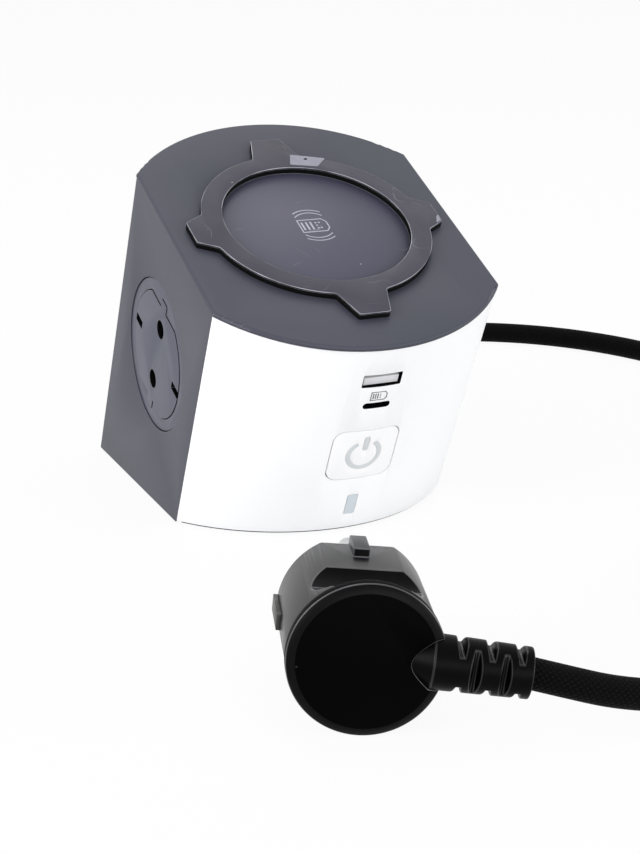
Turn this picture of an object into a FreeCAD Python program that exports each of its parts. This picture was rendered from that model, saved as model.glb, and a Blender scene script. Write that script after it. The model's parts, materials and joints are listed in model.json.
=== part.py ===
import FreeCAD, Part
import math
import os
from FreeCAD import Vector as V

# Desk power tower: a leaning round tower with two flat sides, a mains socket in
# each flat side, charging ports and a power button in front, a wireless charging
# pad on top, and a braided mains lead that ends in an angled two-pin plug.
# Millimetres and degrees. +Z is up and -Y is the front. The origin is on the desk,
# under the middle of the tower's bounding box (the lead and plug are left out of it).
#
# The tower's own pieces are drawn about its leaning axis: X across, Y to the back,
# Z along the axis, with the body's bottom plane passing through the drawing's origin.

# ---- tower body ------------------------------------------------------------------
lean = 23.7                  # the axis leans forward from the vertical
body_radius = 56.5           # round edge of the top plate
flat_half = 44.9             # from the axis to the outside of a flat side
axis_height = 95.5           # along the axis, from the body's bottom to the top face
shell_thickness = 1.4
crease_radius = 1.0          # bend between the top plate and a side panel
cover_setback = 0.3          # the covers stand this far inside the top plate's edge
cover_wall = 2.2
seam = 0.1                   # gap along a visible seam
body_lift = 0.5              # the feet stand out this far below the body
base_rim = 0.6               # thickness of the base plate's visible rim
base_rim_setback = 0.5
base_thickness = 2.4
fit_gap = 0.3                # easy gap between a cover's wall and what drops inside

# ---- feet and base screws --------------------------------------------------------
foot_radius = 5.0
foot_recess = 1.2
foot_spots = [(-24.0, -18.0), (24.0, -18.0), (-24.0, 44.0), (24.0, 44.0)]
boss_radius = 3.6
boss_height = 11.0
boss_inset = 3.7             # from a boss's axis to the cover's wall, front to back
front_boss_x = 31.0
rear_boss_xs = [-33.0, 0.0]
screw_radius = 1.25
screw_head_radius = 2.6
screw_head_height = 1.5
screw_length = 9.0
thread_gap = 0.05

# ---- charging pad and ring on top ------------------------------------------------
pad_radius = 28.2
pad_gap = 0.15
ring_inner_radius = 28.4
ring_outer_radius = 34.7
ring_base_height = 1.5
ring_cap_height = 0.6
long_tab_reach = 44.0        # tabs at the front and back
short_tab_reach = 39.6       # tabs at the sides
tab_tip_half = 4.8
tab_root_half = 7.6
tab_tip_round = 1.0
tab_root_round = 1.6
tray_radius = 32.5
tray_wall = 6.0
tray_floor = 1.2
ferrite_radius = 25.0
ferrite_thickness = 0.8
coil_outer_radius = 22.0
coil_inner_radius = 10.0
coil_thickness = 1.8
tray_head_gap = 0.2
post_radius = 2.0
post_height = 2.6
charger_board_size = (44.0, 34.0, 1.6)

# ---- sockets ---------------------------------------------------------------------
socket_height = 53.0         # along the axis, from the body's bottom plane
bezel_radius = 23.2
bezel_gap = 0.35
bezel_bore = 19.8
bezel_setback = 0.4
bezel_depth = 4.0
socket_flange_radius = 27.0
face_radius = 19.5
face_setback = 0.2           # the sprung face stands a little proud of its bezel
face_flange_radius = 21.0
face_flange_thickness = 1.4
face_travel = 16.0
stop_gap = 0.1
rib_chord = 16.8             # from the socket's centre to the edge of a keying rib
rib_gap = 0.3
key_half = 2.1               # half the width of the face's key between the ribs
pin_half_pitch = 9.5
pin_hole_radius = 2.9
clip_slot_inner = 14.0
clip_slot_outer = 19.9
clip_slot_half = 1.35
clip_gap = 0.6
housing_bore = 21.3
housing_wall = 1.9
housing_floor_depth = 22.5
housing_floor = 2.5
housing_flange = 2.0
housing_pin_hole = 2.6
well_bore = 4.7
well_wall = 0.9
well_depth = 7.0
chamber_radius = 17.0
chamber_wall = 1.6
chamber_end_gap = 3.9        # from the tower's middle to a housing's closed end
sleeve_bore = 2.45
sleeve_wall = 0.95
sleeve_length = 12.0
bar_cap = 1.0
bar_radius = 1.6
clip_tip_depth = 6.6
face_boss_radius = 2.9
face_boss_height = 3.0
face_spring_radius = 3.9
face_spring_wire = 0.6
face_spring_turns = 9
spring_runs_per_turn = 12
housing_screw_radius = 1.1
housing_screw_head = 1.7
housing_screw_ring = 25.3

# ---- ports, button and lens in the front cover ------------------------------------
usb_a_width = 12.0
usb_a_opening = 4.4
usb_a_height = 82.9          # heights along the axis, from the body's bottom plane
usb_c_width = 8.4
usb_c_opening = 2.0
usb_c_height = 73.7
port_wall = 0.35
tongue_gap = 0.3
usb_a_tongue_thickness = 2.6
usb_a_tongue_setback = 1.0
usb_c_tongue_thickness = 0.7
usb_c_tongue_setback = 2.6
button_width = 20.6
button_tall = 18.4
button_height = 54.8
button_gap = 0.3
button_round = 3.4
button_face = 2.9
button_flange = 1.2
button_flange_margin = 1.3
button_travel = 1.6
button_spring_wire = 0.5
button_spring_turns = 4
stem_radius = 2.4
stem_gap = 0.4                # between the stem's end and the switch
symbol_radius = 4.95
symbol_stroke = 1.35
symbol_opening = 38.0        # half the angle that the ring leaves open at its top
symbol_bar_start = 1.6
symbol_bar_end = 6.7
symbol_depth = 0.5
symbol_gap = 0.02
switch_size = (15.0, 13.0)
lens_width = 3.2
lens_tall = 7.7
lens_height = 34.8
lens_round = 0.5
lens_gap = 0.1
lens_head_depth = 3.4
lens_pipe_half = (1.1, 3.0)

# ---- frame behind the front cover --------------------------------------------------
frame_setback = 20.2         # from the front cover's outside back to the frame's front face
frame_thickness = 1.6
frame_half = 25.0
frame_low = 28.0
frame_top = 90.0
frame_post_x = 21.0
frame_post_heights = [37.0, 84.0]
frame_post_radius = 2.6
usb_board_setback = 14.6
usb_board_thickness = 1.6
usb_board_half = 17.0
usb_board_low = 69.0
usb_board_top = 88.0
usb_post_radius = 1.5
led_size = (3.0, 3.0, 0.9)

# ---- power board, on the desk's own axes ---------------------------------------------
board_half = 27.0
board_front_setback = 26.2   # in from the covers' outside, in front and behind
board_back_setback = 18.2
board_underside = 9.0
board_thickness = 1.6
transformer_size = (24.0, 20.0, 17.0)
transformer_spot = (-13.0, 12.0)             # across, and in from the board's back edge
winding_overhang = 2.5
capacitor_radius = 6.0
capacitor_height = 15.0
capacitor_spots = [(-17.0, 9.0), (-3.5, 9.0)]  # across, and in from its front edge
terminal_size = (16.0, 9.0, 11.0)
terminal_spot = (12.0, 9.0)                  # across, and in from its back edge
terminal_pitch = 5.0

# ---- mains lead ----------------------------------------------------------------------
lead_diameter = 7.8
desk_gap = 0.05
gland_angle = 30.0           # round the back cover, from the middle towards +X
gland_height = 11.5
gland_neck_radius = 5.2
gland_collar_radius = 7.4
gland_collar_out = 4.0
gland_collar_in = 8.0
gland_length = 30.0
gland_tip_radius = 5.0
gland_groove = 0.8
gland_grooves = 4
gland_groove_pitch = 5.4
gland_groove_width = 1.6
inner_lead_end = 24.0        # how far the lead runs on inside the wall
wire_radius = 0.9
wire_spread = 2.1            # between the wires where they leave the lead
wire_lead = 2.6              # straight stretch at each end of a wire
clamp_distance = 16.0
clamp_width = 6.0
clamp_wall = 2.0
clamp_foot = 5.5
coil_centre = (101.0, -164.0)
coil_middle_radius = 43.0
coil_layers = 2
coil_turn_gap = 0.1          # between turns that lie side by side or on each other

# ---- plug ----------------------------------------------------------------------------
plug_spot = (-50.0, -165.2)  # under the middle of the plug's back face
plug_heading = -19.3         # the pins point to the back, turned this far clockwise
plug_pitch = -3.4
plug_roll = 5.2
cap_radius = 18.9
cap_thickness = 4.0
cap_bevel = 2.2
cap_bevel_depth = 1.1
plug_radius = 18.6
plug_length = 36.5
plug_flat = 16.15            # from the plug's axis to its top and bottom flats
scoop_radius = 8.5
scoop_spot = (12.2, 21.5)    # along the plug and out from its axis
guide_start = 26.7
guide_half = 2.1
guide_top = 18.5
pin_radius = 2.4
pin_length = 19.0
strip_half = 2.1
strip_start = 22.0
strip_thickness = 1.6
strip_proud = 1.0
relief_start = (15.5, 3.2)   # out from the plug's axis and along it
relief_turn = -4.0           # away from square with the pins
relief_droop = 2.5
relief_length = 23.4
relief_root_radius = 6.7
relief_tip_radius = 6.15
relief_cone_length = 9.0
relief_rib_pitch = 7.0
relief_first_notch = 6.4
relief_notch_depth = 3.0
relief_notch_half = 1.4
relief_notch_floor = 0.5

# The hand-laid route of the lead, from the gland round the tower's right side to the
# coil, and from the coil to the plug. The first and last points come from the pieces.
route_to_coil = [
    (54.2, 105.4, 10.9), (67.5, 117.6, 8.4), (84.5, 125.6, 5.4), (105.0, 128.0, 3.95),
    (131.0, 122.6, 3.95), (157.5, 107.0, 3.95), (178.0, 83.5, 3.95), (191.0, 54.0, 3.95),
    (196.0, 21.0, 3.95), (192.5, -12.0, 3.95), (183.0, -44.0, 3.95), (170.5, -74.0, 3.95),
    (159.5, -102.0, 4.8), (151.8, -127.5, 8.3), (148.6, -146.5, 11.0),
]
route_to_plug = [
    (79.0, -206.2, 3.95), (60.0, -197.0, 3.95), (43.5, -190.0, 3.95), (28.0, -185.7, 4.6),
    (15.4, -184.1, 6.5), (4.8, -183.1, 9.2), (-4.6, -180.6, 12.2),
]

# ---- sizes worked out from the ones above -----------------------------------------------
tilt = math.radians(lean)
cover_radius = body_radius - cover_setback
cover_inside = cover_radius - cover_wall
corner_y = math.sqrt(cover_radius ** 2 - flat_half ** 2)
panel_inside = flat_half - shell_thickness
plate_under = axis_height - shell_thickness
wall_foot = -(body_radius * math.tan(tilt) + 6.0)      # low enough to reach the desk at the back
front_reach = body_radius * math.cos(tilt) + axis_height * math.sin(tilt)
rear_reach = cover_radius / math.cos(tilt) - base_rim * math.tan(tilt)
base_centre_y = (front_reach - rear_reach) / 2
lead_radius = lead_diameter / 2
frame_front = frame_setback - cover_radius
usb_board_front = usb_board_setback - cover_radius
board_front = board_front_setback - cover_radius
board_back = cover_radius - board_back_setback
chamber_end_depth = flat_half - chamber_end_gap
base_top = body_lift + base_rim + base_thickness
big = 500.0


# ---- helpers ---------------------------------------------------------------------------
def box(x0, x1, y0, y1, z0, z1):
    return Part.makeBox(x1 - x0, y1 - y0, z1 - z0, V(x0, y0, z0))


def block(size, x, y, z):
    """A box of the given size, centred on x and y, standing on z."""
    return box(x - size[0] / 2, x + size[0] / 2, y - size[1] / 2, y + size[1] / 2, z, z + size[2])


def rod(radius, low, high, x=0.0, y=0.0):
    return Part.makeCylinder(radius, high - low, V(x, y, low))


def pipe(outer, inner, low, high, x=0.0, y=0.0):
    return rod(outer, low, high, x, y).cut(rod(inner, low - 1, high + 1, x, y))


def prism(points, low, high):
    """An upright prism on a closed outline of (x, y) points."""
    ring = [V(x, y, low) for x, y in points]
    face = Part.Face(Part.makePolygon(ring + ring[:1]))
    return face.extrude(V(0, 0, high - low))


def fused(shapes):
    whole = shapes[0]
    for extra in shapes[1:]:
        whole = whole.fuse(extra)
    return whole.removeSplitter()


def cut_all(shape, tools):
    for tool in tools:
        shape = shape.cut(tool)
    return shape


def edges_where(shape, test):
    return [e for e in shape.Edges if all(test(v.Point) for v in e.Vertexes) and len(e.Vertexes) == 2]


def to_desk(shape):
    """Stand a piece of the leaning tower on the desk."""
    turned = FreeCAD.Placement(V(0, base_centre_y, body_lift), FreeCAD.Rotation(V(1, 0, 0), lean))
    placed = shape.copy()
    placed.Placement = turned.multiply(placed.Placement)
    return placed


def above(shape, height):
    return shape.common(box(-big, big, -big, big, height, big))


def below(shape, height):
    return shape.common(box(-big, big, -big, big, -big, height))


def mirrored(shape):
    return shape.mirror(V(0, 0, 0), V(1, 0, 0))


def axis_y(height):
    """Where the tower's axis is, front to back, at a height over the desk."""
    return base_centre_y - (height - body_lift) * math.tan(tilt)


def wall_y(radius, x, height, side):
    """Where a wall of the tower passes x at a height; side is -1 in front, 1 behind."""
    return axis_y(height) + side * math.sqrt(radius ** 2 - x ** 2) / math.cos(tilt)


def spring(radius, wire, length, turns):
    """A coil spring of square wire along +Z from the origin, in short straight runs."""
    count = turns * spring_runs_per_turn
    path = []
    for k in range(count + 1):
        angle = 2 * math.pi * k / spring_runs_per_turn
        path.append(V(radius * math.cos(angle), radius * math.sin(angle), length * k / count))
    half = wire / 2
    section = [V(radius + x, 0, z) for x, z in ((-half, -half), (half, -half), (half, half), (-half, half))]
    ring = Part.makePolygon(section + section[:1])
    return Part.makePolygon(path).makePipeShell([ring], True, True, 1)


def export(name, shape):
    solids = shape.Solids
    made = solids[0] if len(solids) == 1 else Part.makeCompound(solids)
    made.exportStep("parts/" + name + ".step")
    print(f"{name:24s} solids {len(solids):2d} volume {shape.Volume:10.1f} valid {shape.isValid()}")


# ---- casing ------------------------------------------------------------------------------
def flat_round(radius, half, low, high):
    """A round bar about the leaning axis, with a flat on each side."""
    return rod(radius, low, high).common(box(-half, half, -2 * radius, 2 * radius, low, high))


def outer_shell():
    """The grey top plate and both flat side panels, bent from one piece."""
    plate = flat_round(body_radius, flat_half, plate_under, axis_height)
    outline = [
        (-flat_half, -corner_y), (-panel_inside, -corner_y + shell_thickness),
        (-panel_inside, corner_y - shell_thickness), (-flat_half, corner_y),
    ]
    panel = prism(outline, wall_foot, axis_height)
    shell = fused([plate, panel, mirrored(panel)])
    crease = edges_where(
        shell, lambda p: abs(abs(p.x) - flat_half) < 0.01 and abs(p.z - axis_height) < 0.01)
    shell = shell.makeFillet(crease_radius, crease)
    shell = shell.cut(rod(pad_radius + pad_gap, plate_under - 1, axis_height + 1))
    for side in (-1, 1):
        start = V(side * flat_half / 2, 0, socket_height)
        hole = Part.makeCylinder(bezel_radius + bezel_gap, flat_half, start, V(side, 0, 0))
        shell = shell.cut(hole)
    return above(to_desk(shell), body_lift)


def cover_ring():
    """Half of the round wall, in front, mitred where it meets the side panels."""
    wall = pipe(cover_radius, cover_inside, wall_foot, plate_under - seam)
    mitre = corner_y + seam * math.sqrt(2)
    wedge = [
        (-flat_half - 10, -mitre - 10), (0, flat_half - mitre), (flat_half + 10, -mitre - 10),
        (flat_half + 10, -2 * body_radius), (-flat_half - 10, -2 * body_radius),
    ]
    return wall.common(prism(wedge, wall_foot, plate_under))


def cover_bosses(xs, side):
    """Screw bosses inside a cover, standing on the base plate."""
    inside = to_desk(rod(cover_radius - cover_wall / 2, wall_foot, plate_under))
    bosses = []
    for x in xs:
        y = boss_y(x, side)
        boss = rod(boss_radius, base_top, base_top + boss_height, x, y)
        gusset_y = sorted([y, y + side * (boss_radius + boss_height)])
        gusset = box(x - 1.0, x + 1.0, gusset_y[0], gusset_y[1], base_top, base_top + boss_height)
        bosses.append(boss.fuse(gusset).common(inside))
    return bosses


def boss_y(x, side):
    """A boss stands against the wall at its foot in front, and half way up behind."""
    meets = body_lift + base_rim if side < 0 else base_top + boss_height / 2
    return wall_y(cover_inside, x, meets, side) - side * boss_inset


def boss_spots():
    spots = [(x, boss_y(x, -1)) for x in (-front_boss_x, front_boss_x)]
    return spots + [(x, boss_y(x, 1)) for x in rear_boss_xs]


def screw_holes(low, high):
    hole = screw_radius + thread_gap
    return [rod(hole, low, high, x, y) for x, y in boss_spots()]


def rounded_slot(width, tall, corner, height, near, far):
    """A prism along Y through the front wall, with a rounded rectangle as its section."""
    half_w, half_t = width / 2, tall / 2
    body = box(-half_w, half_w, near, far, height - half_t, height + half_t)
    along = [e for e in body.Edges if abs(e.Vertexes[0].Point.y - e.Vertexes[1].Point.y) > 0.1]
    return body.makeFillet(min(corner, half_w - 0.01, half_t - 0.01), along)


def front_cover():
    near, far = -2 * body_radius, frame_front - frame_thickness
    wall = cover_ring()
    posts = []
    for height in frame_post_heights:
        for x in (-frame_post_x, frame_post_x):
            post = Part.makeCylinder(frame_post_radius, body_radius, V(x, frame_front, height), V(0, -1, 0))
            posts.append(post.common(rod(cover_radius - cover_wall / 2, wall_foot, plate_under)))
    wall = fused([wall] + posts)
    for height in frame_post_heights:
        for x in (-frame_post_x, frame_post_x):
            start = V(x, frame_front + 1, height)
            hole = Part.makeCylinder(screw_radius + thread_gap, screw_length - 1, start, V(0, -1, 0))
            wall = wall.cut(hole)
    cuts = [
        rounded_slot(usb_a_width, usb_a_opening, 0.2, usb_a_height, near, far),
        rounded_slot(usb_c_width, usb_c_opening, usb_c_opening / 2, usb_c_height, near, far),
        rounded_slot(button_width + 2 * button_gap, button_tall + 2 * button_gap,
                     button_round + button_gap, button_height, near, far),
        rounded_slot(lens_width + 2 * lens_gap, lens_tall + 2 * lens_gap,
                     lens_round + lens_gap, lens_height, near, far),
    ]
    placed = above(to_desk(cut_all(wall, cuts)), body_lift + base_rim)
    placed = fused([placed] + cover_bosses([-front_boss_x, front_boss_x], -1))
    return cut_all(placed, screw_holes(base_top - 1, base_top + screw_length))


def rear_cover():
    wall = cover_ring().mirror(V(0, 0, 0), V(0, 1, 0))
    placed = above(to_desk(wall), body_lift + base_rim)
    placed = fused([placed] + cover_bosses(rear_boss_xs, 1))
    placed = cut_all(placed, screw_holes(base_top - 1, base_top + screw_length))
    return placed.cut(gland_rod(gland_neck_radius + seam, -15, 15))


def base_plate():
    """The dark plate under the tower, with a thin rim that shows below the covers."""
    rim = to_desk(flat_round(cover_radius - base_rim_setback, panel_inside - seam, wall_foot, 60))
    rim = below(above(rim, body_lift), body_lift + base_rim)
    inner = to_desk(flat_round(cover_inside - fit_gap, panel_inside - fit_gap, wall_foot, 60))
    inner = below(above(inner, body_lift + base_rim / 2), base_top)
    plate = fused([rim, inner])
    for x, y in foot_spots:
        plate = plate.cut(rod(foot_radius + seam, body_lift - 1, body_lift + foot_recess, x, y))
    plate = cut_all(plate, screw_holes(0, base_top + 1))
    for x, y in boss_spots():
        plate = plate.cut(rod(screw_head_radius + seam, 0, body_lift + screw_head_height, x, y))
    return plate


def rubber_feet():
    feet = [rod(foot_radius, 0, body_lift + foot_recess, x, y) for x, y in foot_spots]
    return Part.makeCompound([f.makeChamfer(0.3, [f.Edges[i] for i in range(len(f.Edges))
                              if abs(f.Edges[i].CenterOfMass.z) < 0.01]) for f in feet])


def base_screws():
    screws = []
    for x, y in boss_spots():
        head = rod(screw_head_radius, body_lift + 0.1, body_lift + screw_head_height, x, y)
        head = head.cut(block((3.0, 0.7, 0.8), x, y, body_lift))
        head = head.cut(block((0.7, 3.0, 0.8), x, y, body_lift))
        shank = rod(screw_radius, body_lift + 0.9, base_top + screw_length - 1.0, x, y)
        screws.append(head.fuse(shank))
    return Part.makeCompound(screws)


# ---- top: ring, pad and charger ----------------------------------------------------------
def ring_outline(low, high):
    """The raised ring with a tab at each quarter."""
    body = rod(ring_outer_radius, low, high)
    root = ring_outer_radius - 1.5
    for quarter in range(4):
        reach = short_tab_reach if quarter % 2 == 0 else long_tab_reach
        slope = (tab_root_half - tab_tip_half) / (reach - ring_outer_radius)
        root_half = tab_root_half + slope * (ring_outer_radius - root)
        tab = prism([(root, -root_half), (reach, -tab_tip_half), (reach, tab_tip_half), (root, root_half)],
                    low, high)
        tab.rotate(V(0, 0, 0), V(0, 0, 1), 90 * quarter)
        body = body.fuse(tab)
    body = body.removeSplitter()

    def upright(e):
        ends = [v.Point for v in e.Vertexes]
        return len(ends) == 2 and abs(ends[0].z - ends[1].z) > (high - low) / 2

    def at(e):
        return math.hypot(e.Vertexes[0].Point.x, e.Vertexes[0].Point.y)

    def beside_axis(e):
        """True for a tab's own edge, and not for the seam of the round part."""
        point = e.Vertexes[0].Point
        return min(abs(point.x), abs(point.y)) > 1

    tips = [e for e in body.Edges if upright(e) and at(e) > ring_outer_radius + 2]
    body = body.makeFillet(tab_tip_round, tips)
    roots = [e for e in body.Edges if upright(e) and at(e) < ring_outer_radius + 0.4 and beside_axis(e)]
    body = body.makeFillet(tab_root_round, roots)
    return body.cut(rod(ring_inner_radius, low - 1, high + 1))


def grip_ring():
    return to_desk(ring_outline(axis_height, axis_height + ring_base_height))


def ring_cap():
    low = axis_height + ring_base_height
    return to_desk(ring_outline(low, low + ring_cap_height))


def charging_pad():
    pad = rod(pad_radius, plate_under, axis_height)
    return to_desk(pad)


def coil_tray():
    depth = tray_floor + ferrite_thickness + coil_thickness + tray_head_gap
    low = plate_under - depth
    hollow = rod(tray_radius - tray_wall, low + tray_floor, plate_under + 1)
    tray = rod(tray_radius, low, plate_under).cut(hollow)
    for x, y in charger_post_spots():
        tray = tray.fuse(rod(post_radius, low - post_height, low + 0.2, x, y))
    return to_desk(tray)


def charger_post_spots():
    half_x, half_y = charger_board_size[0] / 2 - 3, charger_board_size[1] / 2 - 3
    return [(sx * half_x, sy * half_y) for sx in (-1, 1) for sy in (-1, 1)]


def ferrite_low():
    return plate_under - tray_head_gap - coil_thickness - ferrite_thickness


def ferrite_sheet():
    return to_desk(rod(ferrite_radius, ferrite_low(), ferrite_low() + ferrite_thickness))


def charging_coil():
    low = ferrite_low() + ferrite_thickness
    return to_desk(pipe(coil_outer_radius, coil_inner_radius, low, low + coil_thickness))


def charger_board():
    top = ferrite_low() - tray_floor - post_height
    board = block(charger_board_size, 0, 0, top - charger_board_size[2])
    under = top - charger_board_size[2]
    for size, x, y in (((7, 7, 1.4), -10, 4), ((5, 4, 1.6), 4, -6), ((4, 6, 1.2), 12, 6)):
        board = board.fuse(block(size, x, y, under - size[2]))
    return to_desk(board)


# ---- sockets: drawn for the left side, mirrored for the right ----------------------------
def deep(radius, start, end, y=0.0, up=0.0):
    """A round bar across the tower, between two depths from the left panel's face."""
    return Part.makeCylinder(radius, end - start, V(-flat_half + start, y, socket_height + up), V(1, 0, 0))


def deep_box(start, end, y0, y1, up0, up1):
    return box(-flat_half + start, -flat_half + end, y0, y1, socket_height + up0, socket_height + up1)


def socket_bezel():
    bezel = deep(bezel_radius, bezel_setback, bezel_depth)
    bezel = bezel.fuse(deep(socket_flange_radius, shell_thickness, bezel_depth))
    bezel = bezel.cut(deep(bezel_bore, -1, bezel_depth + 1))
    for side in (-1, 1):
        chord = sorted([side * rib_chord, side * (bezel_bore + 1)])
        rib = deep(bezel_bore + 0.2, bezel_setback, bezel_depth).common(
            deep_box(0, bezel_depth, -bezel_bore, bezel_bore, chord[0], chord[1]))
        key_room = key_half + rib_gap
        rib = rib.cut(deep_box(-1, bezel_depth + 1, -key_room, key_room, chord[0], chord[1]))
        bezel = bezel.fuse(rib)
    bezel = bezel.removeSplitter()
    return cut_all(bezel, housing_screw_holes(shell_thickness + 0.4, bezel_depth + 1))


def housing_screw_holes(start, end):
    return [deep(housing_screw_radius + thread_gap, start, end, y, up) for y, up in housing_screw_spots()]


def housing_screw_spots():
    reach = housing_screw_ring / math.sqrt(2)
    return [(sy * reach, su * reach) for sy in (-1, 1) for su in (-1, 1)]


def face_flange_depth():
    return bezel_depth + stop_gap


def socket_face():
    """The sprung disc that closes the socket and is pushed in by a plug."""
    flange = face_flange_depth()
    back = flange + face_flange_thickness
    front = deep(face_radius, face_setback, flange + 0.2)
    chord = rib_chord - rib_gap
    keep = deep_box(0, bezel_depth * 3, -face_radius, face_radius, -chord, chord)
    key = deep_box(0, bezel_depth * 3, -key_half, key_half, -face_radius, face_radius)
    front = front.common(keep.fuse(key))
    boss = deep(face_boss_radius, back, back + face_boss_height)
    face = fused([front, deep(face_flange_radius, flange, back), boss])
    for side in (-1, 1):
        face = face.cut(deep(pin_hole_radius, -1, back + 1, 0, side * pin_half_pitch))
        slot = sorted([side * clip_slot_inner, side * clip_slot_outer])
        face = face.cut(deep_box(-1, back + 1, slot[0], slot[1], -clip_slot_half, clip_slot_half))
    return face


def socket_housing():
    floor_end = housing_floor_depth + housing_floor
    outer = housing_bore + housing_wall
    body = deep(outer, bezel_depth, floor_end)
    body = body.fuse(deep(socket_flange_radius, bezel_depth, bezel_depth + housing_flange))
    body = body.cut(deep(housing_bore, bezel_depth - 1, housing_floor_depth))
    chamber = deep(chamber_radius, floor_end - 0.1, chamber_end_depth).cut(
        deep(chamber_radius - chamber_wall, floor_end - 1, chamber_end_depth + 1))
    well_end = housing_floor_depth + well_depth
    body = fused([body, chamber, deep(well_bore + well_wall, floor_end - 0.1, well_end + well_wall)])
    body = body.cut(deep(well_bore, housing_floor_depth - 1, well_end))
    for side in (-1, 1):
        hole = deep(housing_pin_hole, housing_floor_depth - 1, floor_end + 0.5, 0, side * pin_half_pitch)
        body = body.cut(hole)
    return cut_all(body, housing_screw_holes(bezel_depth - 1, bezel_depth + housing_flange + 1))


def housing_screws():
    screws = []
    head_start = bezel_depth + housing_flange
    for y, up in housing_screw_spots():
        head = deep(housing_screw_head, head_start, head_start + 1.2, y, up)
        shank = deep(housing_screw_radius, shell_thickness + 0.5, head_start + 0.2, y, up)
        screws.append(head.fuse(shank))
    return Part.makeCompound(screws)


def earth_clips():
    clips = []
    for side in (-1, 1):
        edge = sorted([side * (clip_slot_inner + clip_gap), side * (clip_slot_outer - 1.1)])
        half = clip_slot_half - clip_gap
        clips.append(deep_box(clip_tip_depth, housing_floor_depth, edge[0], edge[1], -half, half))
    return Part.makeCompound(clips)


def face_spring():
    start = face_flange_depth() + face_flange_thickness
    length = housing_floor_depth + well_depth - start
    coil = spring(face_spring_radius, face_spring_wire, length - face_spring_wire, face_spring_turns)
    coil.rotate(V(0, 0, 0), V(0, 1, 0), 90)
    coil.translate(V(-flat_half + start + face_spring_wire / 2, 0, socket_height))
    return coil


def contact_bar(up):
    """One pole: a sleeve behind each socket, joined by a bar through the middle."""
    floor_end = housing_floor_depth + housing_floor
    end = floor_end + sleeve_length
    outer = sleeve_bore + sleeve_wall
    sleeve = deep(outer, floor_end, end + bar_cap, 0, up).cut(deep(sleeve_bore, floor_end - 1, end, 0, up))
    bar = deep(bar_radius, end + bar_cap / 2, 2 * flat_half - end - bar_cap / 2, 0, up)
    return fused([sleeve, mirrored(sleeve), bar])


# ---- front: frame, ports, button, lens ------------------------------------------------------
def front_frame():
    frame = box(-frame_half, frame_half, frame_front, frame_front + frame_thickness, frame_low, frame_top)
    for height in (usb_board_low + 3, usb_board_top - 3):
        for x in (-usb_board_half + 3, usb_board_half - 3):
            top = usb_board_front + usb_board_thickness
            post = Part.makeCylinder(usb_post_radius, frame_front + 0.2 - top, V(x, top, height), V(0, 1, 0))
            frame = frame.fuse(post)
    for height in frame_post_heights:
        for x in (-frame_post_x, frame_post_x):
            frame = frame.cut(Part.makeCylinder(
                screw_radius + thread_gap, frame_thickness + 2, V(x, frame_front - 1, height), V(0, 1, 0)))
    return to_desk(frame.removeSplitter())


def frame_screws():
    screws = []
    back = frame_front + frame_thickness
    for height in frame_post_heights:
        for x in (-frame_post_x, frame_post_x):
            head = Part.makeCylinder(screw_head_radius, screw_head_height, V(x, back, height), V(0, 1, 0))
            shank = Part.makeCylinder(screw_radius, screw_length - 1.2, V(x, back + 0.2, height), V(0, -1, 0))
            screws.append(head.fuse(shank))
    return to_desk(Part.makeCompound(screws))


def usb_board():
    back = usb_board_front + usb_board_thickness
    board = box(-usb_board_half, usb_board_half, usb_board_front, back, usb_board_low, usb_board_top)
    chip = box(-6, 6, back, back + 1.3, usb_c_height - 2, usb_c_height + 5)
    return to_desk(board.fuse(chip))


def port_shell(width, opening, corner, height):
    """A thin metal shroud from the cover's inner face to the port board."""
    near = -math.sqrt(cover_inside ** 2 - (width / 2 + port_wall) ** 2) + seam
    outer = rounded_slot(width + 2 * port_wall, opening + 2 * port_wall, corner + port_wall, height,
                         near, usb_board_front)
    return to_desk(outer.cut(rounded_slot(width, opening, corner, height, near - 1, usb_board_front + 1)))


def usb_a_shell():
    return port_shell(usb_a_width, usb_a_opening, 0.2, usb_a_height)


def usb_c_shell():
    return port_shell(usb_c_width, usb_c_opening, usb_c_opening / 2, usb_c_height)


def usb_a_tongue():
    low = usb_a_height - usb_a_opening / 2 + tongue_gap
    half = usb_a_width / 2 - 2 * tongue_gap
    near = -cover_radius + usb_a_tongue_setback
    return to_desk(box(-half, half, near, usb_board_front, low, low + usb_a_tongue_thickness))


def usb_c_tongue():
    half = usb_c_width / 2 - 2.5 * tongue_gap
    thick = usb_c_tongue_thickness / 2
    near = -cover_radius + usb_c_tongue_setback
    return to_desk(box(-half, half, near, usb_board_front, usb_c_height - thick, usb_c_height + thick))


def symbol_solids(extra):
    """The power symbol as prisms along Y: an open ring and an upright bar."""
    outer = symbol_radius + symbol_stroke / 2 + extra
    inner = symbol_radius - symbol_stroke / 2 - extra
    near, span = -2 * body_radius, body_radius * 1.2
    centre = V(0, near, button_height)
    hollow = Part.makeCylinder(inner, span, centre, V(0, 1, 0))
    ring = Part.makeCylinder(outer, span, centre, V(0, 1, 0)).cut(hollow)
    open_half = math.radians(symbol_opening)
    reach = 3 * symbol_radius
    wedge = Part.Face(Part.makePolygon([
        centre, centre + V(-reach * math.sin(open_half), 0, reach * math.cos(open_half)),
        centre + V(reach * math.sin(open_half), 0, reach * math.cos(open_half)), centre]))
    ring = ring.cut(wedge.extrude(V(0, span, 0)))
    ends = []
    for side in (-1, 1):
        spot = centre + V(side * symbol_radius * math.sin(open_half), 0, symbol_radius * math.cos(open_half))
        ends.append(Part.makeCylinder(symbol_stroke / 2 + extra, span, spot, V(0, 1, 0)))
    ring = fused([ring] + ends)
    middle = button_height + (symbol_bar_start + symbol_bar_end) / 2
    bar = rounded_slot(symbol_stroke + 0.3 + 2 * extra, symbol_bar_end - symbol_bar_start + 2 * extra,
                       symbol_stroke / 2 + extra, middle, near, near + span)
    return [ring, bar]


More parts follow.
